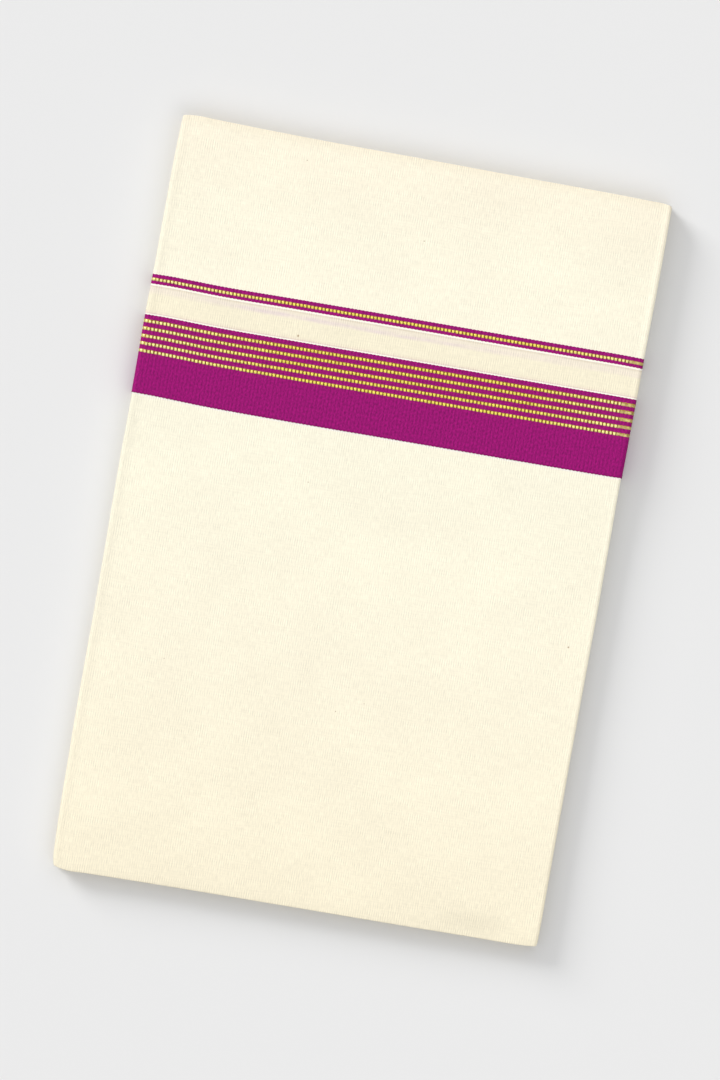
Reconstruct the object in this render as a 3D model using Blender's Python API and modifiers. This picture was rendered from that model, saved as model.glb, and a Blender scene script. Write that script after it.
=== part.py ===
"""A dhoti of cream cotton with a magenta and gold border, folded flat into a pack.

The cloth is one woven length. Its width is folded first, like a wallet: a short flap with the
border on its free edge lies over three leaves. The long strip that this gives is then halved four
times, so the pack is sixteen strips high. The last halving makes the big round fold on the right
side, and the earlier ones make the smaller folds that lie in layers on the left side.

The outermost strip goes all round: over the top, round the right side and under the pack, and its
two ends curl into the left side. It is built in the stretches that show, each one a wall, and the
strips inside share one rounded solid with layered edges.

X runs across the pack, Y up it towards the fold above the border, and Z up from the surface that
the pack rests on. Sizes are in millimetres, and the meshes are made in metres.
"""

import math
from collections import namedtuple

import bpy

METRES = 0.001

# Cloth walls
WALL = 1.0
SEAM_GAP = 0.3
CURL_TUCK = 3.0

# Border, measured up the pack from the selvedge, which is the flap's free edge
SELVEDGE_Y = 47.7
BAND_HEIGHT = 38.6
PLAIN_BEFORE_STRIPE = 15.7
STRIPE_HEIGHT = 4.6
TUCK_UNDER_FLAP = 15.0

# Ends of the pack on its middle line
BOTTOM_Y = -184.5
TOP_Y = 184.5

# The last millimetres at each end, where the outer strip rolls in and its corners round off
ROLL_LENGTH = 4.0
ROLL_DEPTH = 0.5
CORNER_LENGTH = 6.0
CORNER_DEPTH = 1.7
ROLL_STATIONS = (0.0, 0.8, 2.0, 4.0, 6.0)

# Steps round each fold, and the angle in degrees past which an edge is shaded sharp
SMALL_FOLD_STEPS = 6
BIG_FOLD_STEPS = 10
SHARP_ANGLE = 50.0

# How the strips inside end
GROOVE_DEPTH = 1.1
LEFT_GROOVE_DEPTH = 0.5
HIDDEN_END_INSET = 0.3
HIDDEN_FIRST_STATION = 4.0
CUT_END_SETBACK = 2.4
INNER_FOLD_SETBACK = 0.9

Side = namedtuple("Side", "y left right")
SIDES = (
    Side(-186.0, -119.9, 119.8),
    Side(-168.0, -120.3, 119.8),
    Side(-140.0, -120.8, 119.75),
    Side(-60.0, -120.9, 120.0),
    Side(0.0, -121.2, 120.2),
    Side(40.0, -121.45, 120.3),
    Side(64.0, -121.45, 120.6),
    Side(80.0, -121.45, 120.8),
    Side(105.0, -121.2, 121.0),
    Side(140.0, -121.05, 121.4),
    Side(176.0, -120.7, 121.6),
    Side(186.0, -120.5, 121.6),
)

# Where the pack's two ends and the selvedge run at each place across it
CrossLine = namedtuple("CrossLine", "x bottom selvedge top")
CROSS_LINES = (
    CrossLine(-121.5, -184.6, 48.3, 185.6),
    CrossLine(-112.0, -186.0, 48.2, 186.0),
    CrossLine(-90.0, -185.6, 47.5, 185.4),
    CrossLine(-50.0, -185.0, 47.3, 184.8),
    CrossLine(0.0, -184.5, 47.7, 184.5),
    CrossLine(50.0, -184.0, 48.0, 184.1),
    CrossLine(90.0, -183.5, 48.3, 183.9),
    CrossLine(121.5, -182.6, 48.6, 183.5),
)

# Heights of the cloth up the pack: the top of the leaves, and the two folds that divide the left side
Leaf = namedtuple("Leaf", "y top upper_fold lower_fold")
LEAVES = (
    Leaf(-186.0, 10.1, 5.5, 3.0),
    Leaf(-172.0, 10.8, 5.7, 3.1),
    Leaf(-120.0, 10.4, 5.6, 3.0),
    Leaf(-20.0, 10.3, 5.5, 3.0),
    Leaf(22.0, 10.6, 5.7, 3.0),
    Leaf(47.7, 11.4, 6.1, 3.1),
    Leaf(70.0, 11.8, 6.3, 3.3),
    Leaf(88.0, 11.8, 6.3, 3.3),
    Leaf(108.0, 11.5, 6.2, 3.2),
    Leaf(150.0, 11.4, 6.1, 3.2),
    Leaf(174.0, 11.7, 6.2, 3.2),
    Leaf(186.0, 11.2, 6.1, 3.1),
)

# A layer's rounded edge: share of its height, and share of the groove's depth there
LayerEdge = namedtuple("LayerEdge", "height depth")
LAYER_EDGES = (
    LayerEdge(0.03, 1.0),
    LayerEdge(0.22, 0.3),
    LayerEdge(0.5, 0.0),
    LayerEdge(0.78, 0.3),
    LayerEdge(0.97, 1.0),
)

# The hidden layers from the floor up: how far each stops short at the pack's two ends
Layer = namedtuple("Layer", "place bottom_setback top_setback")
LAYERS = (
    Layer("beside_lower_curl", 0.2, 0.0),
    Layer("inner_fold", 0.6, 0.5),
    Layer("cut_ends", 0.0, 0.9),
    Layer("beside_upper_curl", 0.4, 0.2),
    Layer("in_upper_fold_low", 0.1, 0.6),
    Layer("in_upper_fold_high", 0.5, 0.1),
)

# Places up the pack where each solid has a station besides those at its ends
PANEL_STATIONS = (-170.0, -145.0, -120.0, -95.0, -70.0, -45.0, -20.0, 2.0, 22.0, 36.0)
BAND_STATIONS = (56.0, 64.0, 70.0, 79.0)
FLAP_STATIONS = (98.0, 120.0, 135.0, 150.0, 163.0, 174.0)
UNDER_TONGUE_Y = SELVEDGE_Y + TUCK_UNDER_FLAP + 0.7
PAST_TONGUE_Y = SELVEDGE_Y + TUCK_UNDER_FLAP + 2.5
HIDDEN_UNDER_BAND = (56.0, UNDER_TONGUE_Y, PAST_TONGUE_Y, 76.0, 88.0)
HIDDEN_UNDER_FLAP = (108.0, 130.0, 150.0, 174.0)
HIDDEN_COLUMNS = 6


def clear_scene():
    """Removes whatever the scene starts with."""
    for item in list(bpy.data.objects):
        bpy.data.objects.remove(item, do_unlink=True)


def fabric(name, colour, roughness, metallic=0.0):
    """One plain cloth material with its base colour in linear light."""
    material = bpy.data.materials.new(name)
    material.use_nodes = True
    shader = material.node_tree.nodes["Principled BSDF"]
    shader.inputs["Base Color"].default_value = (*colour, 1.0)
    shader.inputs["Roughness"].default_value = roughness
    shader.inputs["Metallic"].default_value = metallic
    material.diffuse_color = (*colour, 1.0)
    return material


def between(rows, place, column):
    """A column's value at a place along a table whose first column is that place."""
    if place <= rows[0][0]:
        return getattr(rows[0], column)
    for low, high in zip(rows, rows[1:]):
        if place <= high[0]:
            share = (place - low[0]) / (high[0] - low[0])
            return getattr(low, column) * (1.0 - share) + getattr(high, column) * share
    return getattr(rows[-1], column)


def skewed(x, y):
    """A station's Y at this X: neither the pack's ends nor its border are quite square to its sides."""
    selvedge = between(CROSS_LINES, x, "selvedge")
    if y <= SELVEDGE_Y:
        share = (SELVEDGE_Y - y) / (SELVEDGE_Y - BOTTOM_Y)
        return selvedge * (1.0 - share) + between(CROSS_LINES, x, "bottom") * share
    share = (y - SELVEDGE_Y) / (TOP_Y - SELVEDGE_Y)
    return selvedge * (1.0 - share) + between(CROSS_LINES, x, "top") * share


def from_nearest_end(y):
    """How far a station lies from the nearer end of the pack."""
    return max(0.0, min(y - BOTTOM_Y, TOP_Y - y))


def drawn_in(distance, length, depth):
    """How far a rounded end has drawn in at a distance from its tip."""
    return depth * max(0.0, 1.0 - distance / length) ** 2


class Station:
    """The outer strip's outline at one place up the pack, seen along Y."""

    def __init__(self, y, under_flap):
        distance = from_nearest_end(y)
        roll = drawn_in(distance, ROLL_LENGTH, ROLL_DEPTH)
        corner = drawn_in(distance, CORNER_LENGTH, CORNER_DEPTH)
        self.y = y
        self.left = between(SIDES, y, "left") + corner
        self.right = between(SIDES, y, "right") - corner
        self.floor = roll
        self.leaf_top = between(LEAVES, y, "top") - roll
        self.top = self.leaf_top + (WALL + SEAM_GAP if under_flap else 0.0)
        self.upper_fold = between(LEAVES, y, "upper_fold")
        self.lower_fold = between(LEAVES, y, "lower_fold")
        self.big_radius = (self.top - self.floor) / 2.0
        self.upper_radius = (self.top - self.upper_fold) / 2.0
        self.lower_radius = (self.lower_fold - self.floor) / 2.0

    def outline(self):
        """The strip's outer line from the end tucked in above, over the pack, to the one below."""
        upper_x = self.left + self.upper_radius
        lower_x = self.left + self.lower_radius
        line = [(upper_x + CURL_TUCK, self.upper_fold)]
        line += arc(upper_x, self.upper_fold + self.upper_radius, self.upper_radius,
                    270.0, 90.0, SMALL_FOLD_STEPS)
        line += arc(self.right - self.big_radius, self.floor + self.big_radius, self.big_radius,
                    90.0, -90.0, BIG_FOLD_STEPS)
        line += arc(lower_x, self.floor + self.lower_radius, self.lower_radius,
                    270.0, 90.0, SMALL_FOLD_STEPS)
        line.append((lower_x + CURL_TUCK, self.lower_fold))
        return line

    def inside_right(self, z):
        """The X that the hidden layers reach inside the big fold at a height."""
        radius = self.big_radius - WALL - SEAM_GAP
        rise = z - self.floor - self.big_radius
        return self.right - self.big_radius + math.sqrt(max(0.0, radius**2 - rise**2))

    def inside_upper_fold(self, z):
        """The X that the hidden layers reach inside the fold above on the left at a height."""
        radius = self.upper_radius - WALL - SEAM_GAP
        rise = z - self.upper_fold - self.upper_radius
        return self.left + self.upper_radius - math.sqrt(max(0.0, radius**2 - rise**2))


def arc(centre_x, centre_z, radius, start, end, steps):
    """Points round a fold, angles in degrees from +X towards +Z."""
    points = []
    for step in range(steps + 1):
        angle = math.radians(start + (end - start) * step / steps)
        points.append((centre_x + radius * math.cos(angle), centre_z + radius * math.sin(angle)))
    return points


def mesh_object(name, points, faces, materials, collection):
    """A named object from points in millimetres, its faces smooth but for its sharp edges."""
    mesh = bpy.data.meshes.new(name)
    mesh.from_pydata([[value * METRES for value in point] for point in points], [], faces)
    for material in materials:
        mesh.materials.append(material)
    mesh.validate()
    mesh.shade_smooth()
    mesh.set_sharp_from_angle(angle=math.radians(SHARP_ANGLE))
    item = bpy.data.objects.new(name, mesh)
    collection.objects.link(item)
    return item


def outer_stretch(name, stations, materials, collection, tongue_y=None, material_at=None):
    """A stretch of the outermost strip: an open surface round the pack, made a wall.

    A tongue carries its top face on by itself, as far as tongue_y, to lie under the flap.
    """
    lines = [station.outline() for station in stations]
    width = len(lines[0])
    points = []
    for station, line in zip(stations, lines):
        points += [(x, skewed(x, station.y), z) for x, z in line]
    faces = []
    for row in range(len(stations) - 1):
        for column in range(width - 1):
            first = row * width + column
            faces.append((first, first + 1, first + width + 1, first + width))
    if tongue_y is not None:
        over_left = (len(stations) - 1) * width + 1 + SMALL_FOLD_STEPS
        beyond = Station(tongue_y, under_flap=False)
        for index in (over_left, over_left + 1):
            x = points[index][0]
            points.append((x, skewed(x, tongue_y), beyond.leaf_top))
        faces.append((over_left, over_left + 1, len(points) - 1, len(points) - 2))
    item = mesh_object(name, points, faces, materials, collection)
    if material_at is not None:
        for row in range(len(stations) - 1):
            middle = (stations[row].y + stations[row + 1].y) / 2.0
            for face in range(row * (width - 1), (row + 1) * (width - 1)):
                item.data.polygons[face].material_index = material_at(middle)
    wall = item.modifiers.new("Wall", "SOLIDIFY")
    wall.thickness = WALL * METRES
    wall.offset = -1.0
    wall.use_even_offset = True
    return item


def layer_bounds(station, top):
    """Where each hidden layer starts and ends in height."""
    floor = station.floor + WALL + SEAM_GAP
    under_lower = station.lower_fold + SEAM_GAP
    under_upper = station.upper_fold - SEAM_GAP
    over_upper = station.upper_fold + WALL + SEAM_GAP
    between_curls = (under_lower + under_upper) / 2.0
    in_fold = (over_upper + top) / 2.0
    heights = (floor, under_lower, between_curls, under_upper, over_upper, in_fold, top)
    return dict(zip((layer.place for layer in LAYERS), zip(heights, heights[1:])))


def layer_left(place, station, z, depth):
    """The X where a hidden layer ends on the left."""
    if place == "beside_lower_curl":
        return station.left + station.lower_radius + CURL_TUCK + SEAM_GAP
    if place == "inner_fold":
        return station.left + INNER_FOLD_SETBACK + depth * LEFT_GROOVE_DEPTH
    if place == "cut_ends":
        return station.left + CUT_END_SETBACK
    if place == "beside_upper_curl":
        return station.left + station.upper_radius + CURL_TUCK + SEAM_GAP
    return station.inside_upper_fold(z)


def hidden_rows(layer, edge):
    """One level of the hidden layers: for each station its Y at each end, its height and its reach."""
    ys = (BOTTOM_Y, BOTTOM_Y + HIDDEN_FIRST_STATION, *PANEL_STATIONS, SELVEDGE_Y - SEAM_GAP,
          SELVEDGE_Y, *HIDDEN_UNDER_BAND, *HIDDEN_UNDER_FLAP, TOP_Y - HIDDEN_FIRST_STATION, TOP_Y)
    inset = HIDDEN_END_INSET + edge.depth * GROOVE_DEPTH
    rows = []
    for y in ys:
        station = Station(y, under_flap=y >= SELVEDGE_Y)
        top = (station.leaf_top if y <= UNDER_TONGUE_Y else station.top) - WALL - SEAM_GAP
        low, high = layer_bounds(station, top)[layer.place]
        z = low + edge.height * (high - low)
        shift = 0.0
        if y == BOTTOM_Y:
            shift = inset + layer.bottom_setback
        if y == TOP_Y:
            shift = -inset - layer.top_setback
        rows.append((y, shift, z, layer_left(layer.place, station, z, edge.depth),
                     station.inside_right(z)))
    return rows


def level_grid(rows):
    """A level's points, a row of them across the pack at each station."""
    grid = []
    for y, shift, z, left, right in rows:
        for column in range(HIDDEN_COLUMNS + 1):
            x = left + (right - left) * column / HIDDEN_COLUMNS
            grid.append((x, skewed(x, y) + shift, z))
    return grid


def hidden_layers(materials, collection):
    """The strips inside, as one solid: a level for each step of each layer's rounded edge."""
    levels = [hidden_rows(layer, edge) for layer in LAYERS for edge in LAYER_EDGES]
    wide = HIDDEN_COLUMNS + 1
    count = len(levels[0])
    rim = list(range(wide))
    rim += [row * wide + wide - 1 for row in range(1, count)]
    rim += [(count - 1) * wide + column for column in range(wide - 2, -1, -1)]
    rim += [row * wide for row in range(count - 2, 0, -1)]
    bottom = level_grid(levels[0])
    top = level_grid(levels[-1])
    points = bottom + top
    faces = []
    for row in range(count - 1):
        for column in range(wide - 1):
            first = row * wide + column
            faces.append((first, first + wide, first + wide + 1, first + 1))
            above = len(bottom) + first
            faces.append((above, above + 1, above + wide + 1, above + wide))
    below = rim
    for index, level in enumerate(levels[1:], start=1):
        if index == len(levels) - 1:
            ring = [len(bottom) + place for place in rim]
        else:
            grid = level_grid(level)
            ring = [len(points) + step for step in range(len(rim))]
            points += [grid[place] for place in rim]
        for step in range(len(rim)):
            after = (step + 1) % len(rim)
            faces.append((below[step], below[after], ring[after], ring[step]))
        below = ring
    return mesh_object("hidden_layers", points, faces, materials, collection)


def main():
    """Builds the folded dhoti."""
    clear_scene()
    collection = bpy.data.collections.new("folded_dhoti")
    bpy.context.scene.collection.children.link(collection)
    cream = fabric("cream cotton", (0.93, 0.87, 0.70), 0.85)
    inner_cream = fabric("cream cotton inside", (0.90, 0.83, 0.65), 0.9)
    magenta = fabric("magenta border yarn", (0.32, 0.012, 0.16), 0.7)
    gold = fabric("gold zari", (0.57, 0.41, 0.08), 0.4, 0.6)

    from_bottom = [BOTTOM_Y + step for step in ROLL_STATIONS]
    to_top = [TOP_Y - step for step in reversed(ROLL_STATIONS)]
    panel_end = SELVEDGE_Y - SEAM_GAP
    band_top = SELVEDGE_Y + BAND_HEIGHT
    flap_start = band_top + SEAM_GAP
    stripe_low = band_top + PLAIN_BEFORE_STRIPE
    stripe_high = stripe_low + STRIPE_HEIGHT

    panel = [Station(y, False) for y in (*from_bottom, *PANEL_STATIONS, panel_end)]
    outer_stretch("outer_panel", panel, [cream], collection,
                  tongue_y=panel_end + TUCK_UNDER_FLAP)

    band = [Station(y, True) for y in (SELVEDGE_Y, *BAND_STATIONS, band_top)]
    outer_stretch("border_band", band, [magenta], collection)

    flap_ys = sorted((flap_start, stripe_low, stripe_high, *FLAP_STATIONS, *to_top))
    flap = [Station(y, True) for y in flap_ys]
    outer_stretch("flap_cloth", flap, [cream, gold], collection,
                  material_at=lambda y: int(stripe_low < y < stripe_high))

    hidden_layers([inner_cream], collection)


main()
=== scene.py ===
"""The looks of a cream cotton dhoti with a magenta and gold border, folded flat.

The cloth is one woven length. Its width is folded like a wallet, with a short flap on top whose
free edge carries the border. The long strip that this gives is halved four times, so the pack is
sixteen strips high. Its outermost strip is built as thin shells that run over the front, round the
big fold on the right, under the pack and into the folds on the left. The strips inside show as
rounded noses at both ends, and as a small fold and two cut ends on the left.

Sizes are in millimetres until a mesh is made. X runs across the pack, Y up it towards the fold
above the border, and Z up from the surface that it rests on.
"""

import logging
import math
from dataclasses import dataclass
from enum import Enum
from typing import NamedTuple

import bmesh
import bpy
import numpy as np
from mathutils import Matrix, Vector


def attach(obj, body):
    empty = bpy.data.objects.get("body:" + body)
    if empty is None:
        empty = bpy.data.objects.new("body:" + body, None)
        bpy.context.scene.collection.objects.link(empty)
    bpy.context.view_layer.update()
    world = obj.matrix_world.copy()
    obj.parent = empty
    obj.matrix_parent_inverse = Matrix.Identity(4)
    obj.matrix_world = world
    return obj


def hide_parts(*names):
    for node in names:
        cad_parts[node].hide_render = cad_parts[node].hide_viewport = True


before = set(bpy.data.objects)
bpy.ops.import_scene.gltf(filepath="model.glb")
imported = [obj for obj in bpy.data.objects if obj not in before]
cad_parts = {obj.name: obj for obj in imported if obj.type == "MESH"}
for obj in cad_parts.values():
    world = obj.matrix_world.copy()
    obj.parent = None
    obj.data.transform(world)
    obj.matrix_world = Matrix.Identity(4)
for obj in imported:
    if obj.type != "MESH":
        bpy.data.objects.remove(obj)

LOG = logging.getLogger("folded_dhoti")
MM = 0.001
BODY = "root"
SHARP_DEGREES = 55.0
Array = np.ndarray


class Side(NamedTuple):
    """How far the pack reaches to the left and the right at one place up it."""

    y: float
    left: float
    right: float


class CrossLine(NamedTuple):
    """Where both ends, the selvedge and the thin stripe's upper edge run at one place across."""

    x: float
    bottom: float
    selvedge: float
    stripe: float
    top: float


class Height(NamedTuple):
    """The height of the pack at one place up it."""

    y: float
    top: float


class Trough(NamedTuple):
    """A soft trough pressed into the cloth, or a ridge where its depth is negative."""

    x: float
    y: float
    length: float
    width: float
    turn: float
    depth: float


class Fleck(NamedTuple):
    """A dark husk fleck spun into the yarn."""

    x: float
    y: float
    size: float


class End(Enum):
    """The two ends of the pack, each with the direction that it faces along Y."""

    BOTTOM = -1
    TOP = 1


class Yarn(Enum):
    """The yarns of the border."""

    CREAM = "cream"
    MAGENTA = "magenta"
    GOLD = "gold"


class Stripe(NamedTuple):
    """One stripe of the border and its height up the cloth."""

    yarn: Yarn
    height: float


SIDES = tuple(Side(*row) for row in (
    (-186.0, -118.2, 119.3), (-180.0, -119.3, 119.6), (-171.0, -119.78, 119.7),
    (-140.0, -120.55, 119.7), (-60.0, -120.85, 119.95), (0.0, -121.2, 120.2), (40.0, -121.4, 120.3),
    (64.0, -121.4, 120.55), (85.0, -121.4, 120.8), (105.0, -121.2, 121.0), (140.0, -121.0, 121.35),
    (176.0, -120.5, 121.5), (186.0, -120.05, 121.45),
))

CROSS_LINES = tuple(CrossLine(*row) for row in (
    (-121.5, -184.2, 48.25, 106.4, 184.75), (-118.0, -184.7, 48.17, 106.45, 185.3),
    (-112.0, -185.88, 48.12, 106.57, 185.75), (-104.0, -185.65, 47.9, 106.45, 185.5),
    (-90.0, -185.35, 47.45, 106.15, 185.15), (-50.0, -184.75, 47.2, 106.4, 184.5),
    (0.0, -184.25, 47.5, 106.77, 184.3), (50.0, -183.8, 47.8, 107.0, 183.9),
    (90.0, -183.3, 48.0, 107.25, 183.75), (112.0, -183.0, 48.2, 107.35, 183.4),
    (117.0, -182.65, 48.32, 107.28, 183.3), (121.5, -182.1, 48.45, 107.15, 182.6),
))

HEIGHTS = tuple(Height(*row) for row in (
    (-186.0, 10.2), (-172.0, 10.7), (-120.0, 10.4), (-20.0, 10.4), (22.0, 10.9), (47.7, 12.3),
    (66.0, 12.95), (88.0, 13.05), (108.0, 12.8), (150.0, 12.7), (174.0, 12.9), (186.0, 12.4),
))

# Soft troughs and ridges of the front: where the cloth was pressed over the strips inside
FRONT_TROUGHS = (
    Trough(22.0, 3.0, 46.0, 9.0, -9.0, 0.30),
    Trough(88.0, -18.0, 24.0, 8.0, -24.0, 0.22),
    Trough(-22.0, -84.0, 34.0, 9.0, -12.0, 0.28),
    Trough(-46.0, -136.0, 26.0, 8.0, 6.0, 0.18),
    Trough(38.0, -128.0, 30.0, 9.0, 14.0, -0.16),
    Trough(-84.0, -10.0, 26.0, 10.0, 18.0, 0.18),
    Trough(-92.0, -96.0, 16.0, 22.0, 0.0, -0.14),
    Trough(62.0, -60.0, 40.0, 12.0, 8.0, -0.16),
    Trough(-30.0, 28.0, 30.0, 7.0, -4.0, -0.14),
    Trough(88.0, -179.0, 16.0, 6.5, 0.0, 0.60),
    Trough(-78.0, 116.0, 34.0, 7.0, -4.0, 0.26),
    Trough(4.0, 124.0, 24.0, 8.0, 8.0, 0.20),
    Trough(92.0, 131.0, 28.0, 7.0, 20.0, 0.20),
    Trough(-44.0, 158.0, 34.0, 9.0, -3.0, -0.18),
    Trough(46.0, 166.0, 26.0, 8.0, 4.0, 0.18),
    Trough(-72.0, 178.0, 30.0, 6.0, 2.0, 0.15),
)

# Soft dents of the big fold on the right: x is the angle in degrees down from the front
FOLD_TROUGHS = (
    Trough(118.0, -158.0, 30.0, 9.0, 0.0, 0.35),
    Trough(96.0, -92.0, 26.0, 14.0, 0.0, 0.22),
    Trough(130.0, -41.0, 34.0, 12.0, 0.0, 0.40),
    Trough(112.0, 12.0, 24.0, 9.0, 0.0, 0.28),
    Trough(124.0, 71.0, 28.0, 10.0, 0.0, 0.36),
    Trough(104.0, 126.0, 30.0, 13.0, 0.0, 0.24),
    Trough(128.0, 167.0, 26.0, 8.0, 0.0, 0.34),
)

# Husk flecks that show on the front
FLECKS = tuple(Fleck(*row) for row in (
    (-46.4, 89.6, 0.75), (109.1, -37.5, 0.6), (5.8, 145.2, 0.4), (3.3, -87.2, 0.35),
    (16.3, -81.2, 0.3), (-29.2, 20.5, 0.3), (-56.9, 173.7, 0.35), (-83.1, -75.7, 0.3),
))

# The strips in the order in which the cloth runs through them, numbered from the top of the pack
STRIP_ORDER = (9, 8, 1, 16, 13, 4, 5, 12, 11, 6, 3, 14, 15, 2, 7, 10)


def smooth_column(rows: tuple, column: str, places: Array) -> Array:
    """Reads one column of a table along a smooth line through its rows.

    Args:
        rows: The table, its first column rising.
        column: The name of the column to read.
        places: Where to read it, in the first column's unit.

    Returns:
        The column's value at each place.
    """
    knots = np.array([row[0] for row in rows])
    values = np.array([getattr(row, column) for row in rows])
    slopes = np.gradient(values, knots)
    places = np.clip(np.asarray(places, float), knots[0], knots[-1])
    low = np.clip(np.searchsorted(knots, places) - 1, 0, len(knots) - 2)
    span = knots[low + 1] - knots[low]
    share = (places - knots[low]) / span
    keep = (1.0 + 2.0 * share) * (1.0 - share) ** 2
    lean = share * (1.0 - share) ** 2 * span
    lean_back = share**2 * (share - 1.0) * span
    return (keep * values[low] + (1.0 - keep) * values[low + 1]
            + lean * slopes[low] + lean_back * slopes[low + 1])


def run_length(x: Array, z: Array) -> Array:
    """The distance along a line of points from its first one."""
    return np.concatenate([[0.0], np.cumsum(np.hypot(np.diff(x), np.diff(z)))])


def eased(value: Array, low: float, high: float) -> Array:
    """Rises smoothly from 0 at low to 1 at high."""
    share = np.clip((np.asarray(value, float) - low) / (high - low), 0.0, 1.0)
    return share * share * (3.0 - 2.0 * share)


@dataclass(frozen=True)
class SoftWaves:
    """Uneven low waves of pressed cloth, as a sum of a few long ripples.

    Attributes:
        seed: Picks the ripples.
        shortest: The shortest ripple's length in millimetres.
        longest: The longest ripple's length in millimetres.
        ripples: How many ripples there are.
    """

    seed: int
    shortest: float
    longest: float
    ripples: int = 7

    def at(self, across: Array, up: Array | float = 0.0) -> Array:
        """Height of the waves, from about -1 to 1.

        Args:
            across: Places across the cloth.
            up: Places up the cloth.

        Returns:
            The waves' height at each place.
        """
        draw = np.random.default_rng(self.seed)
        total = np.zeros(np.broadcast(across, up).shape)
        for _ in range(self.ripples):
            length = draw.uniform(self.shortest, self.longest)
            angle = draw.uniform(0.0, math.pi)
            phase = draw.uniform(0.0, math.tau)
            run = across * math.cos(angle) + up * math.sin(angle)
            total = total + np.sin(math.tau * run / length + phase)
        return total / math.sqrt(2.0 * self.ripples)


def trough_depth(troughs: tuple[Trough, ...], across: Array, up: Array) -> Array:
    """How deep the soft troughs press the cloth in at each place.

    Args:
        troughs: The troughs, each an uneven oval.
        across: Places across the cloth.
        up: Places up the cloth.

    Returns:
        The depth at each place, negative on ridges.
    """
    total = np.zeros(np.broadcast(across, up).shape)
    for trough in troughs:
        turn = math.radians(trough.turn)
        along = (across - trough.x) * math.cos(turn) + (up - trough.y) * math.sin(turn)
        over = (up - trough.y) * math.cos(turn) - (across - trough.x) * math.sin(turn)
        over = over + 0.12 * trough.width * np.sin(along / trough.length * 4.0 + trough.x)
        total = total + trough.depth * np.exp(-(along / trough.length) ** 2 - (over / trough.width) ** 2)
    return total


@dataclass(frozen=True)
class PressedFold:
    """The section of a pressed fold: flatter than half a circle above and below, tighter at its side.

    Attributes:
        power: 2 is half a circle, and higher powers are squarer.
    """

    power: float

    def table(self) -> tuple[Array, Array, Array, Array, Array]:
        """Places along the fold from its top to its bottom, the points there and the way they face."""
        angle = np.linspace(math.pi / 2.0, -math.pi / 2.0, 721)
        over, rise = np.cos(angle).clip(0.0), np.sin(angle)
        x = over ** (2.0 / self.power)
        z = np.sign(rise) * np.abs(rise) ** (2.0 / self.power)
        run = run_length(x, z)
        face_x = x ** (self.power - 1.0)
        face_z = np.sign(z) * np.abs(z) ** (self.power - 1.0)
        size = np.hypot(face_x, face_z)
        return run, x, z, face_x / size, face_z / size

    def length(self) -> float:
        """The cloth's length round a fold of radius 1."""
        return float(self.table()[0][-1])

    def at(self, share: Array) -> tuple[Array, Array, Array, Array]:
        """Points on a fold of radius 1.

        Args:
            share: Places along it, from 0 at its top to 1 at its bottom.

        Returns:
            Their X and Z from the fold's middle, and the X and Z of the way they face.
        """
        run, *columns = self.table()
        places = np.clip(share, 0.0, 1.0) * run[-1]
        return tuple(np.interp(places, run, column) for column in columns)


@dataclass(frozen=True)
class Wrap:
    """Points on a line round the pack, seen along Y, with the way they face."""

    x: Array
    z: Array
    out_x: Array
    out_z: Array
    turned: Array
    flat_front: Array


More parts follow.
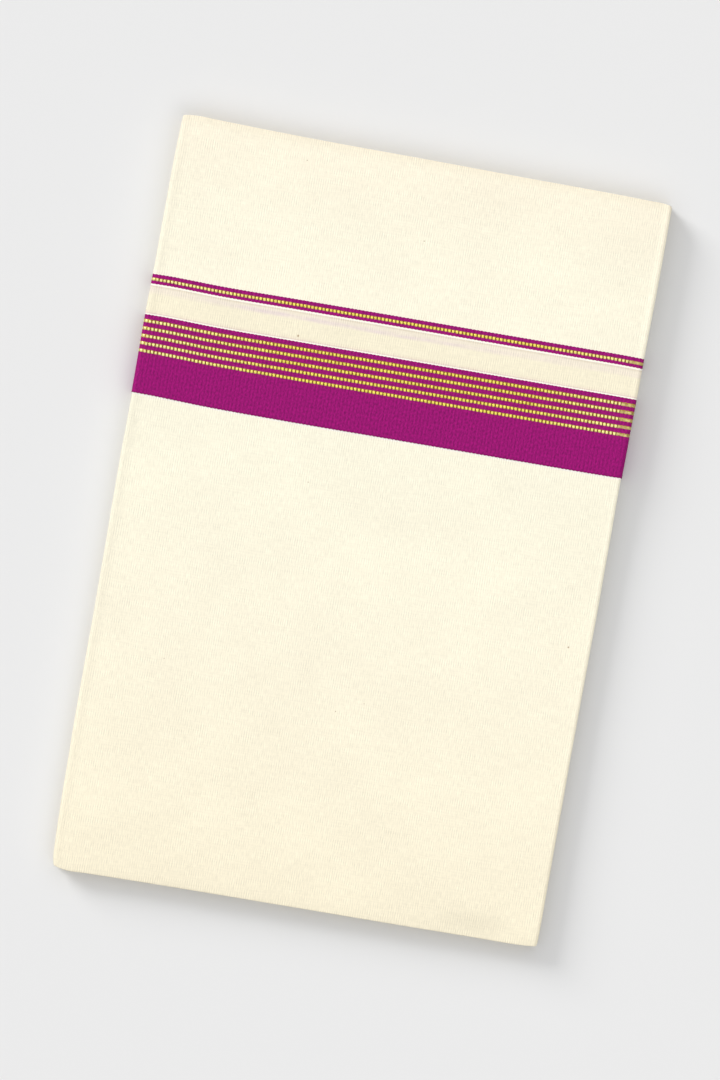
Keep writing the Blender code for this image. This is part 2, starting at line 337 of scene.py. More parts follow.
@dataclass(frozen=True)
class PackForm:
    """The outer form of the folded pack.

    Attributes:
        bottom_y: The bottom end on the middle line.
        selvedge_y: The flap's free edge on the middle line.
        stripe_y: The thin stripe's upper edge on the middle line.
        top_y: The top end on the middle line.
        strips: How many strips lie on each other.
        corner_length: How far from the ends the corners start to round.
        corner_depth: How far the sides draw in at the very corner.
        roll_length: How far from the ends the top starts to roll down.
        roll_depth: How far it has rolled down there.
        tuck: How far the outermost strip runs back into the pack on the left.
        right_fold: The section of the big fold on the right.
        left_fold: The section of the folds on the left.
    """

    bottom_y: float = -184.5
    selvedge_y: float = 47.7
    stripe_y: float = 106.93
    top_y: float = 184.5
    strips: int = 16
    corner_length: float = 1.2
    corner_depth: float = 0.3
    roll_length: float = 5.0
    roll_depth: float = 0.35
    tuck: float = 5.0
    right_fold: PressedFold = PressedFold(6.5)
    left_fold: PressedFold = PressedFold(3.0)

    def end_y(self, end: End) -> float:
        """An end's place up the pack."""
        return self.bottom_y if end is End.BOTTOM else self.top_y

    def from_end(self, y: Array | float) -> Array:
        """Distance to the nearer end of the pack."""
        return np.clip(np.minimum(y - self.bottom_y, self.top_y - y), 0.0, None)

    def corner(self, y: Array | float) -> Array:
        """How far the sides have drawn in at Y."""
        return self.corner_depth * np.clip(1.0 - self.from_end(y) / self.corner_length, 0.0, 1.0) ** 2

    def left(self, y: Array | float) -> Array:
        """The left side's X."""
        return smooth_column(SIDES, "left", y) + self.corner(y)

    def right(self, y: Array | float) -> Array:
        """The right side's X."""
        return smooth_column(SIDES, "right", y) - self.corner(y)

    def top(self, y: Array | float) -> Array:
        """The height of the front."""
        roll = np.clip(1.0 - self.from_end(y) / self.roll_length, 0.0, 1.0) ** 2
        return smooth_column(HEIGHTS, "top", y) - self.roll_depth * roll

    def strip(self, y: Array | float) -> Array:
        """The thickness of one strip."""
        return self.top(y) / self.strips

    def place(self, x: Array, y: Array) -> Array:
        """The real Y of a place: the ends and the border aren't quite square to the sides.

        Args:
            x: Places across the pack.
            y: Places up the pack on its middle line.

        Returns:
            Where each place lies along Y.
        """
        bottom, selvedge, stripe, top = (smooth_column(CROSS_LINES, column, x)
                                         for column in CrossLine._fields[1:])
        below = np.clip((self.selvedge_y - y) / (self.selvedge_y - self.bottom_y), 0.0, None)
        inside = np.clip((y - self.selvedge_y) / (self.stripe_y - self.selvedge_y), 0.0, 1.0)
        above = np.clip((y - self.stripe_y) / (self.top_y - self.stripe_y), 0.0, None)
        return (selvedge + (bottom - selvedge) * below + (stripe - selvedge) * inside
                + (top - stripe) * above)

    def wrap(self, along: Array, y: Array, depth: Array | float = 0.0) -> Wrap:
        """Follows the outermost strip round the pack.

        Args:
            along: Distance along the strip from the middle of the front, to the right.
            y: Places up the pack.
            depth: How deep under the outer face, or over it where negative.

        Returns:
            The points and the way they face.
        """
        top = self.top(y)
        big, upper, lower = top / 2.0, top / 4.0, top / 8.0
        right_x, left_x, low_x = self.right(y) - big, self.left(y) + upper, self.left(y) + lower
        round_big, round_left = self.right_fold.length(), self.left_fold.length()
        past_right = along - right_x
        past_big = past_right - round_big * big
        past_under = past_big - (right_x - low_x)
        past_low = past_under - round_left * lower
        past_left = left_x - along
        past_upper = past_left - round_left * upper
        big_x, big_z, big_out, big_up = self.right_fold.at(past_right / (round_big * big))
        low_side, low_rise, low_out, low_up = self.left_fold.at(1.0 - past_under / (round_left * lower))
        side, rise, out, up = self.left_fold.at(past_left / (round_left * upper))
        none, one = np.zeros_like(along), np.ones_like(along)
        where = [past_upper > 0.0, past_left > 0.0, past_right <= 0.0, past_big <= 0.0,
                 past_under <= 0.0, past_low <= 0.0]
        x = np.select(where, [left_x + past_upper, left_x - upper * side, along, right_x + big * big_x,
                              right_x - past_big, low_x - lower * low_side], low_x + past_low)
        z = np.select(where, [top / 2.0 + none, 3.0 * upper + upper * rise, top + none,
                              big + big * big_z, none, lower + lower * low_rise], 2.0 * lower + none)
        out_x = np.select(where, [none, -out, none, big_out, none, -low_out], none)
        out_z = np.select(where, [-one, up, one, big_up, -one, low_up], one)
        turned = np.select(where, [none, one, none, one, none, one], none)
        front = (past_left <= 0.0) & (past_right <= 0.0)
        return Wrap(x - out_x * depth, z - out_z * depth, out_x, out_z, turned, front.astype(float))

    def span(self) -> tuple[float, float]:
        """The shortest reach of the outermost strip to both sides, tucks included."""
        ys = np.linspace(self.bottom_y, self.top_y, 60)
        top = self.top(ys)
        round_big, round_left = self.right_fold.length(), self.left_fold.length()
        back = -(self.left(ys) + top / 4.0) + round_left * top / 4.0
        ahead = (2.0 * (self.right(ys) - top / 2.0) - self.left(ys) - top / 8.0
                 + round_big * top / 2.0 + round_left * top / 8.0)
        return -float(back.max()) - self.tuck, float(ahead.max()) + self.tuck

    def columns(self, flat_step: float = 3.0, fold_step: float = 0.8) -> Array:
        """Places along the strip for a plain stretch, close together where it bends."""
        start, stop = self.span()
        middle = self.wrap(np.linspace(start, stop, 4000), np.zeros(4000))
        bends = np.linspace(start, stop, 4000)[middle.turned > 0.5]
        places = [start]
        while places[-1] < stop:
            near = np.min(np.abs(bends - places[-1])) < 3.5
            places.append(places[-1] + (fold_step if near else flat_step))
        places[-1] = stop
        return np.array(places)


@dataclass(frozen=True)
class BorderLayout:
    """The woven border, stripe by stripe up the cloth from the selvedge.

    Attributes:
        rib: The pitch of the ribs across the band, one row of floats each.
        past_edge: How far the ribbed pieces reach past the coloured yarn, onto white yarn.
    """

    rib: float = 1.82
    solid: float = 20.3
    gold: float = 1.54
    between_gold: float = 2.155
    last_line: float = 2.28
    gold_rows: int = 5
    gap: float = 15.38
    thin: tuple[float, float, float] = (1.7, 1.48, 1.77)
    past_edge: float = 0.35

    def band(self) -> list[Stripe]:
        """The stripes of the band."""
        stripes = [Stripe(Yarn.MAGENTA, self.solid)]
        for row in range(self.gold_rows):
            stripes.append(Stripe(Yarn.GOLD, self.gold))
            last = row == self.gold_rows - 1
            stripes.append(Stripe(Yarn.MAGENTA, self.last_line if last else self.between_gold))
        return stripes

    def thin_stripe(self) -> list[Stripe]:
        """The thin stripe: magenta, gold, magenta."""
        return [Stripe(yarn, height) for yarn, height
                in zip((Yarn.MAGENTA, Yarn.GOLD, Yarn.MAGENTA), self.thin)]

    def all(self) -> list[Stripe]:
        """All the border's stripes, the plain gap among them."""
        return [*self.band(), Stripe(Yarn.CREAM, self.gap), *self.thin_stripe()]

    def band_height(self) -> float:
        """The height of the band."""
        return sum(stripe.height for stripe in self.band())

    def height(self) -> float:
        """The height of the whole border."""
        return sum(stripe.height for stripe in self.all())

    def edges(self, selvedge: float) -> tuple[float, float, float]:
        """Where the band ends and the thin stripe starts and ends, up the pack from the selvedge."""
        band_top = selvedge + self.band_height()
        return band_top, band_top + self.gap, selvedge + self.height()

    def gold_lines(self) -> list[tuple[float, float]]:
        """Each gold stripe's middle above the selvedge, and its height."""
        lines = []
        low = 0.0
        for stripe in self.all():
            if stripe.yarn is Yarn.GOLD:
                lines.append((low + stripe.height / 2.0, stripe.height))
            low += stripe.height
        return lines


def linear(code: str) -> tuple[float, float, float, float]:
    """Turns an sRGB hex colour into linear light.

    Args:
        code: Six hex digits.

    Returns:
        Red, green, blue and an alpha of 1.
    """
    parts = [int(code[place:place + 2], 16) / 255.0 for place in (0, 2, 4)]
    light = [part / 12.92 if part <= 0.04045 else ((part + 0.055) / 1.055) ** 2.4 for part in parts]
    return (*light, 1.0)


class Look:
    """A material in the making, with the place on the cloth that its nodes read.

    Attributes:
        material: The material, named for the real one and how it was made.
        shader: Its Principled BSDF.
        cloth: The place on the cloth in millimetres, as a vector.
        along: The place along the cloth's length.
        up: The place up the pack.
        third: How far the cloth bends, or how much a float shines.
    """

    def __init__(self, name: str, woven: bool = True) -> None:
        """Starts a material.

        Args:
            name: The real material and how it was made.
            woven: Whether its nodes read the place on the cloth.
        """
        self.material = bpy.data.materials.new(name)
        self.material.use_nodes = True
        self.shader = self.material.node_tree.nodes["Principled BSDF"]
        if woven:
            self.cloth = self.put("Attribute", attribute_name="cloth").outputs["Vector"]
            self.along, self.up, self.third = self.put("SeparateXYZ", (self.cloth,)).outputs

    def put(self, kind: str, inputs: dict | tuple = (), **settings) -> bpy.types.Node:
        """Adds a node with its settings and links.

        Args:
            kind: The node's type, without ShaderNode.
            inputs: Its inputs by name or number, or in order.
            settings: The node's own properties.

        Returns:
            The new node.
        """
        node = self.material.node_tree.nodes.new("ShaderNode" + kind)
        for name, value in settings.items():
            setattr(node, name, value)
        self.fill(node, inputs)
        return node

    def fill(self, node: bpy.types.Node, inputs: dict | tuple) -> None:
        """Sets or links a node's inputs.

        Args:
            node: The node.
            inputs: Values, sockets, or nodes, which stand for their first output in use.
        """
        for place, value in inputs.items() if isinstance(inputs, dict) else enumerate(inputs):
            if isinstance(value, bpy.types.Node):
                value = next(socket for socket in value.outputs if socket.enabled)
            if isinstance(value, bpy.types.NodeSocket):
                self.material.node_tree.links.new(value, node.inputs[place])
            else:
                node.inputs[place].default_value = value

    def stops(self, node: bpy.types.Node, stops: list[tuple[float, tuple]]) -> None:
        """Sets a colour ramp's stops.

        Args:
            node: The ramp.
            stops: Each stop's place from 0 to 1 and its colour.
        """
        ramp = node.color_ramp
        while len(ramp.elements) > 1:
            ramp.elements.remove(ramp.elements[-1])
        ramp.elements[0].position, ramp.elements[0].color = stops[0]
        for place, colour in stops[1:]:
            ramp.elements.new(place).color = colour

    def uneven(self, per_mm: tuple[float, float, float], detail: float,
               roughness: float = 0.5) -> bpy.types.Node:
        """Uneven yarn: soft noise, stretched along the threads.

        Args:
            per_mm: Its patches per millimetre along and up the cloth.
            detail: How many finer layers it has.
            roughness: How strong they are.

        Returns:
            The noise, around 0.5.
        """
        place = self.put("VectorMath", (self.cloth, per_mm), operation="MULTIPLY")
        return self.put("TexNoise", {"Vector": place, "Scale": 1.0, "Detail": detail,
                                     "Roughness": roughness})


@dataclass(frozen=True)
class CreamCotton:
    """Unbleached plain-weave cotton, calendered and pressed: matt, pale, with threads just seen.

    Attributes:
        thread: The pitch of the thread groups that show. The real threads lie 0.4 mm apart,
            too fine to show, so they are drawn in groups of two or three.
        dent_shade: The middle of the oval of painted shade over the dent at the bottom end, and half its
            length and height.
        side: The grey of the painted shade on the pack's steep sides.
    """

    front_low: str = "EEE5CC"
    front_mid: str = "F0E9D3"
    front_high: str = "F1ECD7"
    gap_pink: str = "DFD0C0"
    gap_warm: str = "E8DDC7"
    gap_mid: str = "ECE4CB"
    gap_dull: str = "E8DECC"
    gap_grey: str = "DDD2BD"
    dye: str = "D8C5CE"
    flap: str = "F1EBD6"
    flap_high: str = "F0E8D3"
    flap_fold: str = "E9E0CA"
    # Painted light: a pale line beside the magenta edges; below the selvedge it lightens the shade of the
    # flap's edge
    pale_edge_line: str = "F6F3E9"
    fleck: str = "8E6A42"
    # The grey of the painted shade on the steep sides
    side: str = "C4BFB4"
    thread: float = 1.12
    # The oval of painted shade over the dent at the bottom end
    dent_shade: tuple[float, float, float, float] = (88.0, -178.0, 20.0, 6.5)
    roughness: float = 0.88

    def tones(self, form: PackForm, layout: BorderLayout) -> list[list[tuple[float, str]]]:
        """The cloth's tones up the pack, with the quick changes by the selvedge and in the border's gap.

        Args:
            form: The pack's form.
            layout: The border's stripes.

        Returns:
            For the whole height and then for each of the two zones: places up the pack with their
            colours. A ramp is read in 256 steps, so quick changes need one of their own.
        """
        edge = form.selvedge_y
        low, high, stripe_top = layout.edges(edge)
        whole = [(form.bottom_y, self.front_low), (-60.0, self.front_mid), (edge - 6.0, self.front_high),
                 (edge, self.front_high), (stripe_top, self.flap),
                 (form.top_y - 40.0, self.flap), (form.top_y - 5.0, self.flap_high),
                 (form.top_y, self.flap_fold)]
        # Painted light: a pale line just below the selvedge, over the shade of the flap's edge
        beside = [(edge - 3.0, self.front_high), (edge - 0.75, self.front_high),
                  (edge - 0.6, self.pale_edge_line), (edge + 1.0, self.pale_edge_line)]
        # Painted light: pale lines along the band's top and under the thin stripe, with the gap's own tones
        # between
        gap = [(low, self.pale_edge_line), (low + 0.66, self.pale_edge_line), (low + 0.86, self.gap_pink),
               (low + 1.1, self.gap_pink), (low + 1.6, self.gap_warm), (low + 2.8, self.gap_mid),
               (high - 5.4, self.gap_mid), (high - 3.2, self.gap_dull), (high - 1.8, self.gap_dull),
               (high - 1.1, self.gap_grey), (high - 0.8, self.gap_grey), (high - 0.5, self.pale_edge_line),
               (high, self.pale_edge_line)]
        return [whole, beside, gap]

    def build(self, form: PackForm, layout: BorderLayout) -> bpy.types.Material:
        """Makes the material.

        Args:
            form: The pack's form, for places up the cloth.
            layout: The border's stripes.

        Returns:
            The cream cotton.
        """
        look = Look("cotton_plain_weave_cream")
        tone = None
        for stops in self.tones(form, layout):
            low, high = stops[0][0], stops[-1][0]
            ramp = look.put("ValToRGB", (look.put("MapRange", (look.up, low, high)),))
            look.stops(ramp, [((place - low) / (high - low), linear(code)) for place, code in stops])
            if tone:
                inside = look.put("Math", (look.up, (low + high) / 2.0, (high - low) / 2.0),
                                  operation="COMPARE")
                ramp = look.put("Mix", {0: inside, 6: tone, 7: ramp}, data_type="RGBA")
            tone = ramp
        dyed = look.put("Mix", {0: self.bled_dye(look, form, layout), 6: tone, 7: linear(self.dye)},
                        data_type="RGBA")
        # Clouds: uneven yarn and pressing leave soft lighter and darker areas 30 to 90 mm across
        shade = look.put("MapRange", (look.uneven((0.022, 0.022, 0.022), 3.0, 0.55), 0.3, 0.7, 0.972, 1.018))
        # Threads: wefts run up the pack and warps across it, each with thick and thin places
        weft = look.put("MapRange", (look.uneven((1.7, 0.28, 1.0), 2.0, 0.6), 0.25, 0.75, 0.925, 1.075))
        warp = look.put("MapRange", (look.uneven((0.11, 1.4, 1.0), 2.0, 0.6), 0.25, 0.75, 0.966, 1.034))
        groups = self.thread_groups(look)
        # Painted shade darkens the cloth towards the left folds, and painted light brightens the round of
        # the big fold on the right against its shading
        left = look.put("MapRange", (look.along, -120.5, -114.5, 0.91, 1.0))
        right = look.put("MapRange", (look.along, 116.5, 120.0, 1.0, 1.15))
        for factor in (weft, warp, groups, left, right, self.painted_dent_shade(look)):
            shade = look.put("Math", (shade, factor), operation="MULTIPLY")
        toned = look.put("VectorMath", {0: dyed, "Scale": shade}, operation="SCALE")
        flecked = look.put("Mix", {0: self.fleck_mask(look), 6: toned, 7: linear(self.fleck)},
                           data_type="RGBA")
        # Painted shade: faces that stand steep are mixed towards grey, so the pack's sides are darker than
        # its front
        facing = look.put("SeparateXYZ", (look.put("NewGeometry").outputs["Normal"],)).outputs["Z"]
        upright = look.put("Math", (facing,), operation="ABSOLUTE")
        side_shade = look.put("MapRange", (upright, 0.0, 0.4, 0.7, 0.0))
        side_shaded = look.put("Mix", {0: side_shade, 6: flecked, 7: linear(self.side)}, data_type="RGBA")
        height = look.put("Math", (groups, weft), operation="ADD")
        bump = look.put("Bump", {"Height": height, "Strength": 0.35, "Distance": 0.0002})
        look.fill(look.shader, {"Base Color": side_shaded, "Normal": bump, "Roughness": self.roughness,
                                "IOR": 1.47, "Specular IOR Level": 0.25, "Sheen Weight": 0.06,
                                "Sheen Roughness": 0.6})
        return look.material

    def painted_dent_shade(self, look: Look) -> bpy.types.Node:
        """Painted shade: a darker oval over the dent where the bottom end is pressed in.

        Args:
            look: The material.

        Returns:
            A factor for the colour.
        """
        x, y, half_long, half_high = self.dent_shade
        off = look.put("VectorMath", (look.cloth, (x, y, 0.0)), operation="SUBTRACT")
        oval = look.put("VectorMath", (off, (1 / half_long, 1 / half_high, 0.0)), operation="MULTIPLY")
        away = look.put("VectorMath", (oval,), operation="LENGTH")
        return look.put("MapRange", (away, 0.3, 1.1, 0.935, 1.0))

    def bled_dye(self, look: Look, form: PackForm, layout: BorderLayout) -> bpy.types.Node:
        """The patchy lilac line that dye has left in the gap, a little below the thin stripe.

        Args:
            look: The material.
            form: The pack's form.
            layout: The border's stripes.

        Returns:
            How much of the dye's colour shows.
        """
        high = layout.edges(form.selvedge_y)[1]
        line = look.put("MapRange", (look.along, -85.0, -10.0, high - 3.0, high - 4.0))
        off = look.put("Math", (look.up, line), operation="SUBTRACT")
        mask = look.put("MapRange", (look.put("Math", (off,), operation="ABSOLUTE"), 0.3, 1.5, 1.0, 0.0))
        patches = look.uneven((0.07, 0.4, 1.0), 3.0)
        for fade in ((look.along, -100.0, -60.0, 0.1, 0.65), (look.along, 10.0, 65.0, 1.0, 0.2),
                     (patches, 0.35, 0.65, 0.2, 0.95)):
            mask = look.put("Math", (mask, look.put("MapRange", fade)), operation="MULTIPLY")
        return mask

    def thread_groups(self, look: Look) -> bpy.types.Node:
        """The fine upright dashes that thread groups draw, broken up along their length.

        Args:
            look: The material.

        Returns:
            A factor near 1.
        """
        turns = look.put("Math", (look.along, math.tau / self.thread), operation="MULTIPLY")
        wave = look.put("Math", (turns,), operation="SINE")
        amount = look.put("MapRange", (look.uneven((0.09, 0.3, 1.0), 2.0), 0.4, 0.65, 0.005, 0.09))
        return look.put("Math", (wave, amount, 1.0), operation="MULTIPLY_ADD")

    def fleck_mask(self, look: Look) -> bpy.types.Node:
        """Where the husk flecks are.

        Args:
            look: The material.

        Returns:
            How much of their colour shows.
        """
        mask = None
        for fleck in FLECKS:
            away = look.put("VectorMath", (look.cloth, (fleck.x, fleck.y, 0.0)), operation="DISTANCE")
            dark = look.put("MapRange", (away, fleck.size * 0.3, fleck.size, 0.75, 0.0))
            mask = look.put("Math", (mask, dark), operation="MAXIMUM") if mask else dark
        return mask


@dataclass(frozen=True)
class MagentaBorder:
    """Magenta yarn woven in ribs, with gold yarn under the floats: matt with a slight sheen."""

    # Painted light on the rib tops and painted shade in their hollows
    rib_light: str = "A41576"
    rib_shade: str = "780F5A"
    edge: str = "860B60"
    beside: str = "F2ECDE"
    # The gold between the floats on the front, darkened with painted shade, and the plain gold where the
    # floats lie flat over a fold
    gold_gap_shade: str = "875A1E"
    gold_flat: str = "B8962C"
    roughness: float = 0.72

    def build(self, form: PackForm, layout: BorderLayout) -> bpy.types.Material:
        """Makes the material.

        Args:
            form: The pack's form, for places up the cloth.
            layout: The border's stripes.

        Returns:
            The border yarn, striped by its place up the cloth.
        """
        look = Look("cotton_rib_weave_magenta")
        turns = look.put("Math", (look.along, math.tau / layout.rib), operation="MULTIPLY")
        wave = look.put("Math", (turns,), operation="COSINE")
        # The stripes' edges step in and out a little at each rib
        wobble = look.put("Math", (wave, 0.08, look.up), operation="MULTIPLY_ADD")
        low = form.selvedge_y
        up = look.put("MapRange", (wobble, low, low + layout.height() + layout.past_edge))
        stripes = look.put("ValToRGB", (up,))
        stripes.color_ramp.interpolation = "CONSTANT"
        look.stops(stripes, self.yarn_masks(layout))
        is_gold, is_cream, _ = look.put("SeparateColor", (stripes,)).outputs
        # Painted light and shade: the rib tops take the lighter magenta, mixed with uneven yarn
        rib_light = look.put("MapRange", (wave, -1.0, 0.6))
        mixed = look.put("Math", (look.uneven((1.5, 0.75, 1.0), 3.0, 0.65), 3.2, -1.23),
                         operation="MULTIPLY_ADD")
        share = look.put("Math", (rib_light, 0.3, mixed), operation="MULTIPLY_ADD", use_clamp=True)
        # Painted shade: on the front the gold between the floats is a deep brown; on the folds, where the
        # floats lie flat, it is plain gold
        gold = look.put("Mix", {0: look.third, 6: linear(self.gold_gap_shade), 7: linear(self.gold_flat)},
                        data_type="RGBA")
        # The selvedge is woven closer, so its last millimetre is darker
        rim = look.put("MapRange", (look.up, low + 0.5, low + 1.1, 1.0, 0.0))
        # The ribs' painted shade is the ground colour, with their painted light and the other yarns mixed
        # over it
        yarn = linear(self.rib_shade)
        for mask, colour in ((share, linear(self.rib_light)), (is_gold, gold), (rim, linear(self.edge)),
                             (is_cream, linear(self.beside))):
            yarn = look.put("Mix", {0: mask, 6: yarn, 7: colour}, data_type="RGBA")
        # Warp threads 0.35 mm apart, drawn at 0.6 mm so that they show on the ribs
        grain = look.uneven((0.5, 1.7, 1.0), 2.0)
        bump = look.put("Bump", {"Height": grain, "Strength": 0.4, "Distance": 0.00015})
        look.fill(look.shader, {"Base Color": yarn, "Normal": bump, "Roughness": self.roughness,
                                "IOR": 1.47, "Specular IOR Level": 0.1})
        return look.material

    def yarn_masks(self, layout: BorderLayout) -> list[tuple[float, tuple]]:
        """The yarns up the border: gold is red in the ramp, cream is green and magenta black.

        Args:
            layout: The border's stripes.

        Returns:
            Each stripe's start from 0 to 1, with its colour.
        """
        whole = layout.height() + layout.past_edge
        stops = []
        low = 0.0
        for stripe in [*layout.all(), Stripe(Yarn.CREAM, layout.past_edge)]:
            colour = (float(stripe.yarn is Yarn.GOLD), float(stripe.yarn is Yarn.CREAM), 0.0, 1.0)
            stops.append((low / whole, colour))
            low += stripe.height
        return stops


@dataclass(frozen=True)
class ZariThread:
    """Gold-coloured metal foil wound on a cotton core, in floats: a painted highlight on top, painted shade
    in deep brown towards their ends.
    """

    # The lit foil, its paler painted highlight towards the sides, and the deep brown of its painted shade
    bright: str = "F2E464"
    pale_highlight: str = "F9F39C"
    deep: str = "784604"
    roughness: float = 0.38
    metallic: float = 0.45
    thread: float = 0.36

    def build(self) -> bpy.types.Material:
        """Makes the gold floats' material."""
        look = Look("zari_gold_thread")
        # Threads run along the float, 0.25 mm apart, drawn at 0.36 mm
        turns = look.put("Math", (look.up, math.tau / self.thread), operation="MULTIPLY")
        wave = look.put("Math", (turns,), operation="SINE")
        # How much painted highlight each point has: the float's shine, made uneven; where it is low the foil
        # turns to the deep brown of painted shade
        uneven = look.put("MapRange", (look.uneven((0.8, 0.8, 0.8), 2.0), 0.3, 0.7, -0.25, 0.25))
        share = look.put("Math", (look.third, uneven), operation="ADD", use_clamp=True)
        # Painted highlight: the foil is paler towards both sides of the pack
        left = look.put("MapRange", (look.along, -110.0, -50.0, 1.0, 0.0))
        right = look.put("MapRange", (look.along, 70.0, 113.0))
        highlight_sides = look.put("Math", (left, right), operation="MAXIMUM")
        foil = look.put("Mix", {0: highlight_sides, 6: linear(self.bright), 7: linear(self.pale_highlight)}, data_type="RGBA")
        colour = look.put("Mix", {0: share, 6: linear(self.deep), 7: foil}, data_type="RGBA")
        bump = look.put("Bump", {"Height": wave, "Strength": 0.3, "Distance": 0.00004})
        look.fill(look.shader, {"Base Color": colour, "Normal": bump, "Roughness": self.roughness,
                                "Metallic": self.metallic, "Specular IOR Level": 0.3})
        return look.material


@dataclass(frozen=True)
class PaperGround:
    """Smooth matt paper that the pack lies on: a plain pale grey."""

    colour: str = "DEDEDE"
    roughness: float = 0.95

    def build(self) -> bpy.types.Material:
        """Makes the ground's material."""
        look = Look("paper_matt_pale_grey", woven=False)
        place = look.put("TexCoord").outputs["Object"]
        fibre = look.put("TexNoise", {"Vector": place, "Scale": 40.0, "Detail": 2.0})
        grey = Vector(linear(self.colour))
        colour = look.put("Mix", {0: fibre, 6: tuple(grey * 0.998), 7: tuple(grey * 1.002)},
                          data_type="RGBA")
        look.fill(look.shader, {"Base Color": colour, "Roughness": self.roughness,
                                "Specular IOR Level": 0.0})
        return look.material


@dataclass(frozen=True)
class Finishes:
    """The finishes that the cloth's pieces share."""

    cream: bpy.types.Material
    magenta: bpy.types.Material
    zari: bpy.types.Material


def grid_faces(rows: int, columns: int, start: int = 0, flipped: bool = False) -> Array:
    """The quads of a grid of points.

    Args:
        rows: Rows of points.
        columns: Points in a row.
        start: The first point's number.
        flipped: Whether the faces turn the other way.

    Returns:
        Four point numbers for each face.
    """
    row, column = np.mgrid[0:rows - 1, 0:columns - 1]
    first = start + row * columns + column
    quads = np.stack([first, first + 1, first + columns + 1, first + columns], -1).reshape(-1, 4)
    return quads[:, ::-1] if flipped else quads


def bar_faces(rings: int, wide: int) -> list[list[int]]:
    """The faces of a closed bar: the quads between its rings, and a cap at both ends.

    Args:
        rings: How many rings of points it has.
        wide: Points in a ring.

    Returns:
        The point numbers of each face.
    """
    row, column = np.mgrid[0:rings - 1, 0:wide]
    first = row * wide + column
    after = row * wide + (column + 1) % wide
    quads = np.stack([first, after, after + wide, first + wide], -1).reshape(-1, 4)
    last = (rings - 1) * wide
    return [*quads.tolist(), list(range(wide)), list(range(last, last + wide))[::-1]]


def grid_rim(rows: int, columns: int) -> Array:
    """The numbers of a grid's edge points, in order round it."""
    numbers = np.arange(rows * columns).reshape(rows, columns)
    return np.concatenate([numbers[0, :-1], numbers[:-1, -1], numbers[-1, :0:-1], numbers[:0:-1, 0]])


def piece_object(name: str, points: Array, faces: list, cloth: Array, materials: list,
                 face_materials: Array | None = None) -> bpy.types.Object:
    """Makes a named piece that rides on the pack's body.

    Args:
        name: The piece's name.
        points: Its points in millimetres.
        faces: Its faces as point numbers.
        cloth: For each point its place along and up the cloth, and how far it bends, or on a float how much
            painted highlight it has.
        materials: Its materials.
        face_materials: Which material each face has.

    Returns:
        The piece.
    """
    mesh = bpy.data.meshes.new(name)
    mesh.from_pydata((np.asarray(points, float).reshape(-1, 3) * MM).tolist(), [], faces)
    for material in materials:
        mesh.materials.append(material)
    if face_materials is not None:
        mesh.polygons.foreach_set("material_index", np.asarray(face_materials, np.int32))
    places = mesh.attributes.new("cloth", "FLOAT_VECTOR", "POINT")
    places.data.foreach_set("vector", np.asarray(cloth, np.float32).ravel())
    shaped = bmesh.new()
    shaped.from_mesh(mesh)
    bmesh.ops.recalc_face_normals(shaped, faces=shaped.faces)
    shaped.to_mesh(mesh)
    shaped.free()
    mesh.shade_smooth()
    mesh.set_sharp_from_angle(angle=math.radians(SHARP_DEGREES))
    item = bpy.data.objects.new(name, mesh)
    bpy.context.scene.collection.objects.link(item)
    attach(item, BODY)
    return item


def shell_object(name: str, outer: Array, inner: Array, cloth: Array, materials: list) -> bpy.types.Object:
    """Makes a thin closed shell from its outer and inner faces.

    Args:
        name: The piece's name.
        outer: The outer face's points, in rows and columns.
        inner: The inner face's points, in the same rows and columns.
        cloth: The place on the cloth of each point of the outer face.
        materials: Its materials.

    Returns:
        The piece.
    """
    rows, columns = outer.shape[:2]
    count = rows * columns
    faces = grid_faces(rows, columns).tolist() + grid_faces(rows, columns, count, True).tolist()
    rim = grid_rim(rows, columns)
    after = np.roll(rim, -1)
    faces += np.stack([rim, after, after + count, rim + count], -1)[:, ::-1].tolist()
    points = np.concatenate([outer.reshape(-1, 3), inner.reshape(-1, 3)])
    places = np.concatenate([cloth.reshape(-1, 3), cloth.reshape(-1, 3)])
    return piece_object(name, points, faces, places, materials)


class Row(NamedTuple):
    """A row of points across a stretch: its place up the pack, and how far it has turned in at an end."""

    y: float
    turn: float = 0.0
    back: float = 0.0


@dataclass(frozen=True)
class PressedCloth:
    """The uneven surface of the pressed cloth: soft waves, troughs, and dents in the big fold.

    Attributes:
        waves: The wide waves.
        ripples: The finer ones.
        wave_height: How high the waves stand.
        ripple_height: How high the ripples stand.
        rest_gap: How far the cloth keeps in from the flat underside.
    """

    waves: SoftWaves = SoftWaves(11, 26.0, 90.0)
    ripples: SoftWaves = SoftWaves(5, 9.0, 24.0)
    wave_height: float = 0.10
    ripple_height: float = 0.03
    rest_gap: float = 0.02

    def rise(self, line: Wrap, along: Array, y: Array) -> Array:
        """How far the pressed cloth stands out from the plain form.

        Args:
            line: The plain form's points.
            along: Places along the strip.
            y: Places up the pack.

        Returns:
            The rise at each point, negative in a trough.
        """
        faces_up = np.clip(line.out_z, 0.0, 1.0)
        faces_down = np.clip(-line.out_z * 4.0 + 0.6, 0.0, 1.0)
        rise = self.wave_height * self.waves.at(along, y) + self.ripple_height * self.ripples.at(along, y)
        rise = rise - faces_up * trough_depth(FRONT_TROUGHS, line.x, y) * line.flat_front
        bend = np.degrees(np.arctan2(line.out_x, line.out_z))
        rise = rise - line.turned * (line.x > 0.0) * trough_depth(FOLD_TROUGHS, bend, y)
        return np.where(faces_down > 0.0, rise * (1.0 - faces_down) - self.rest_gap * faces_down, rise)


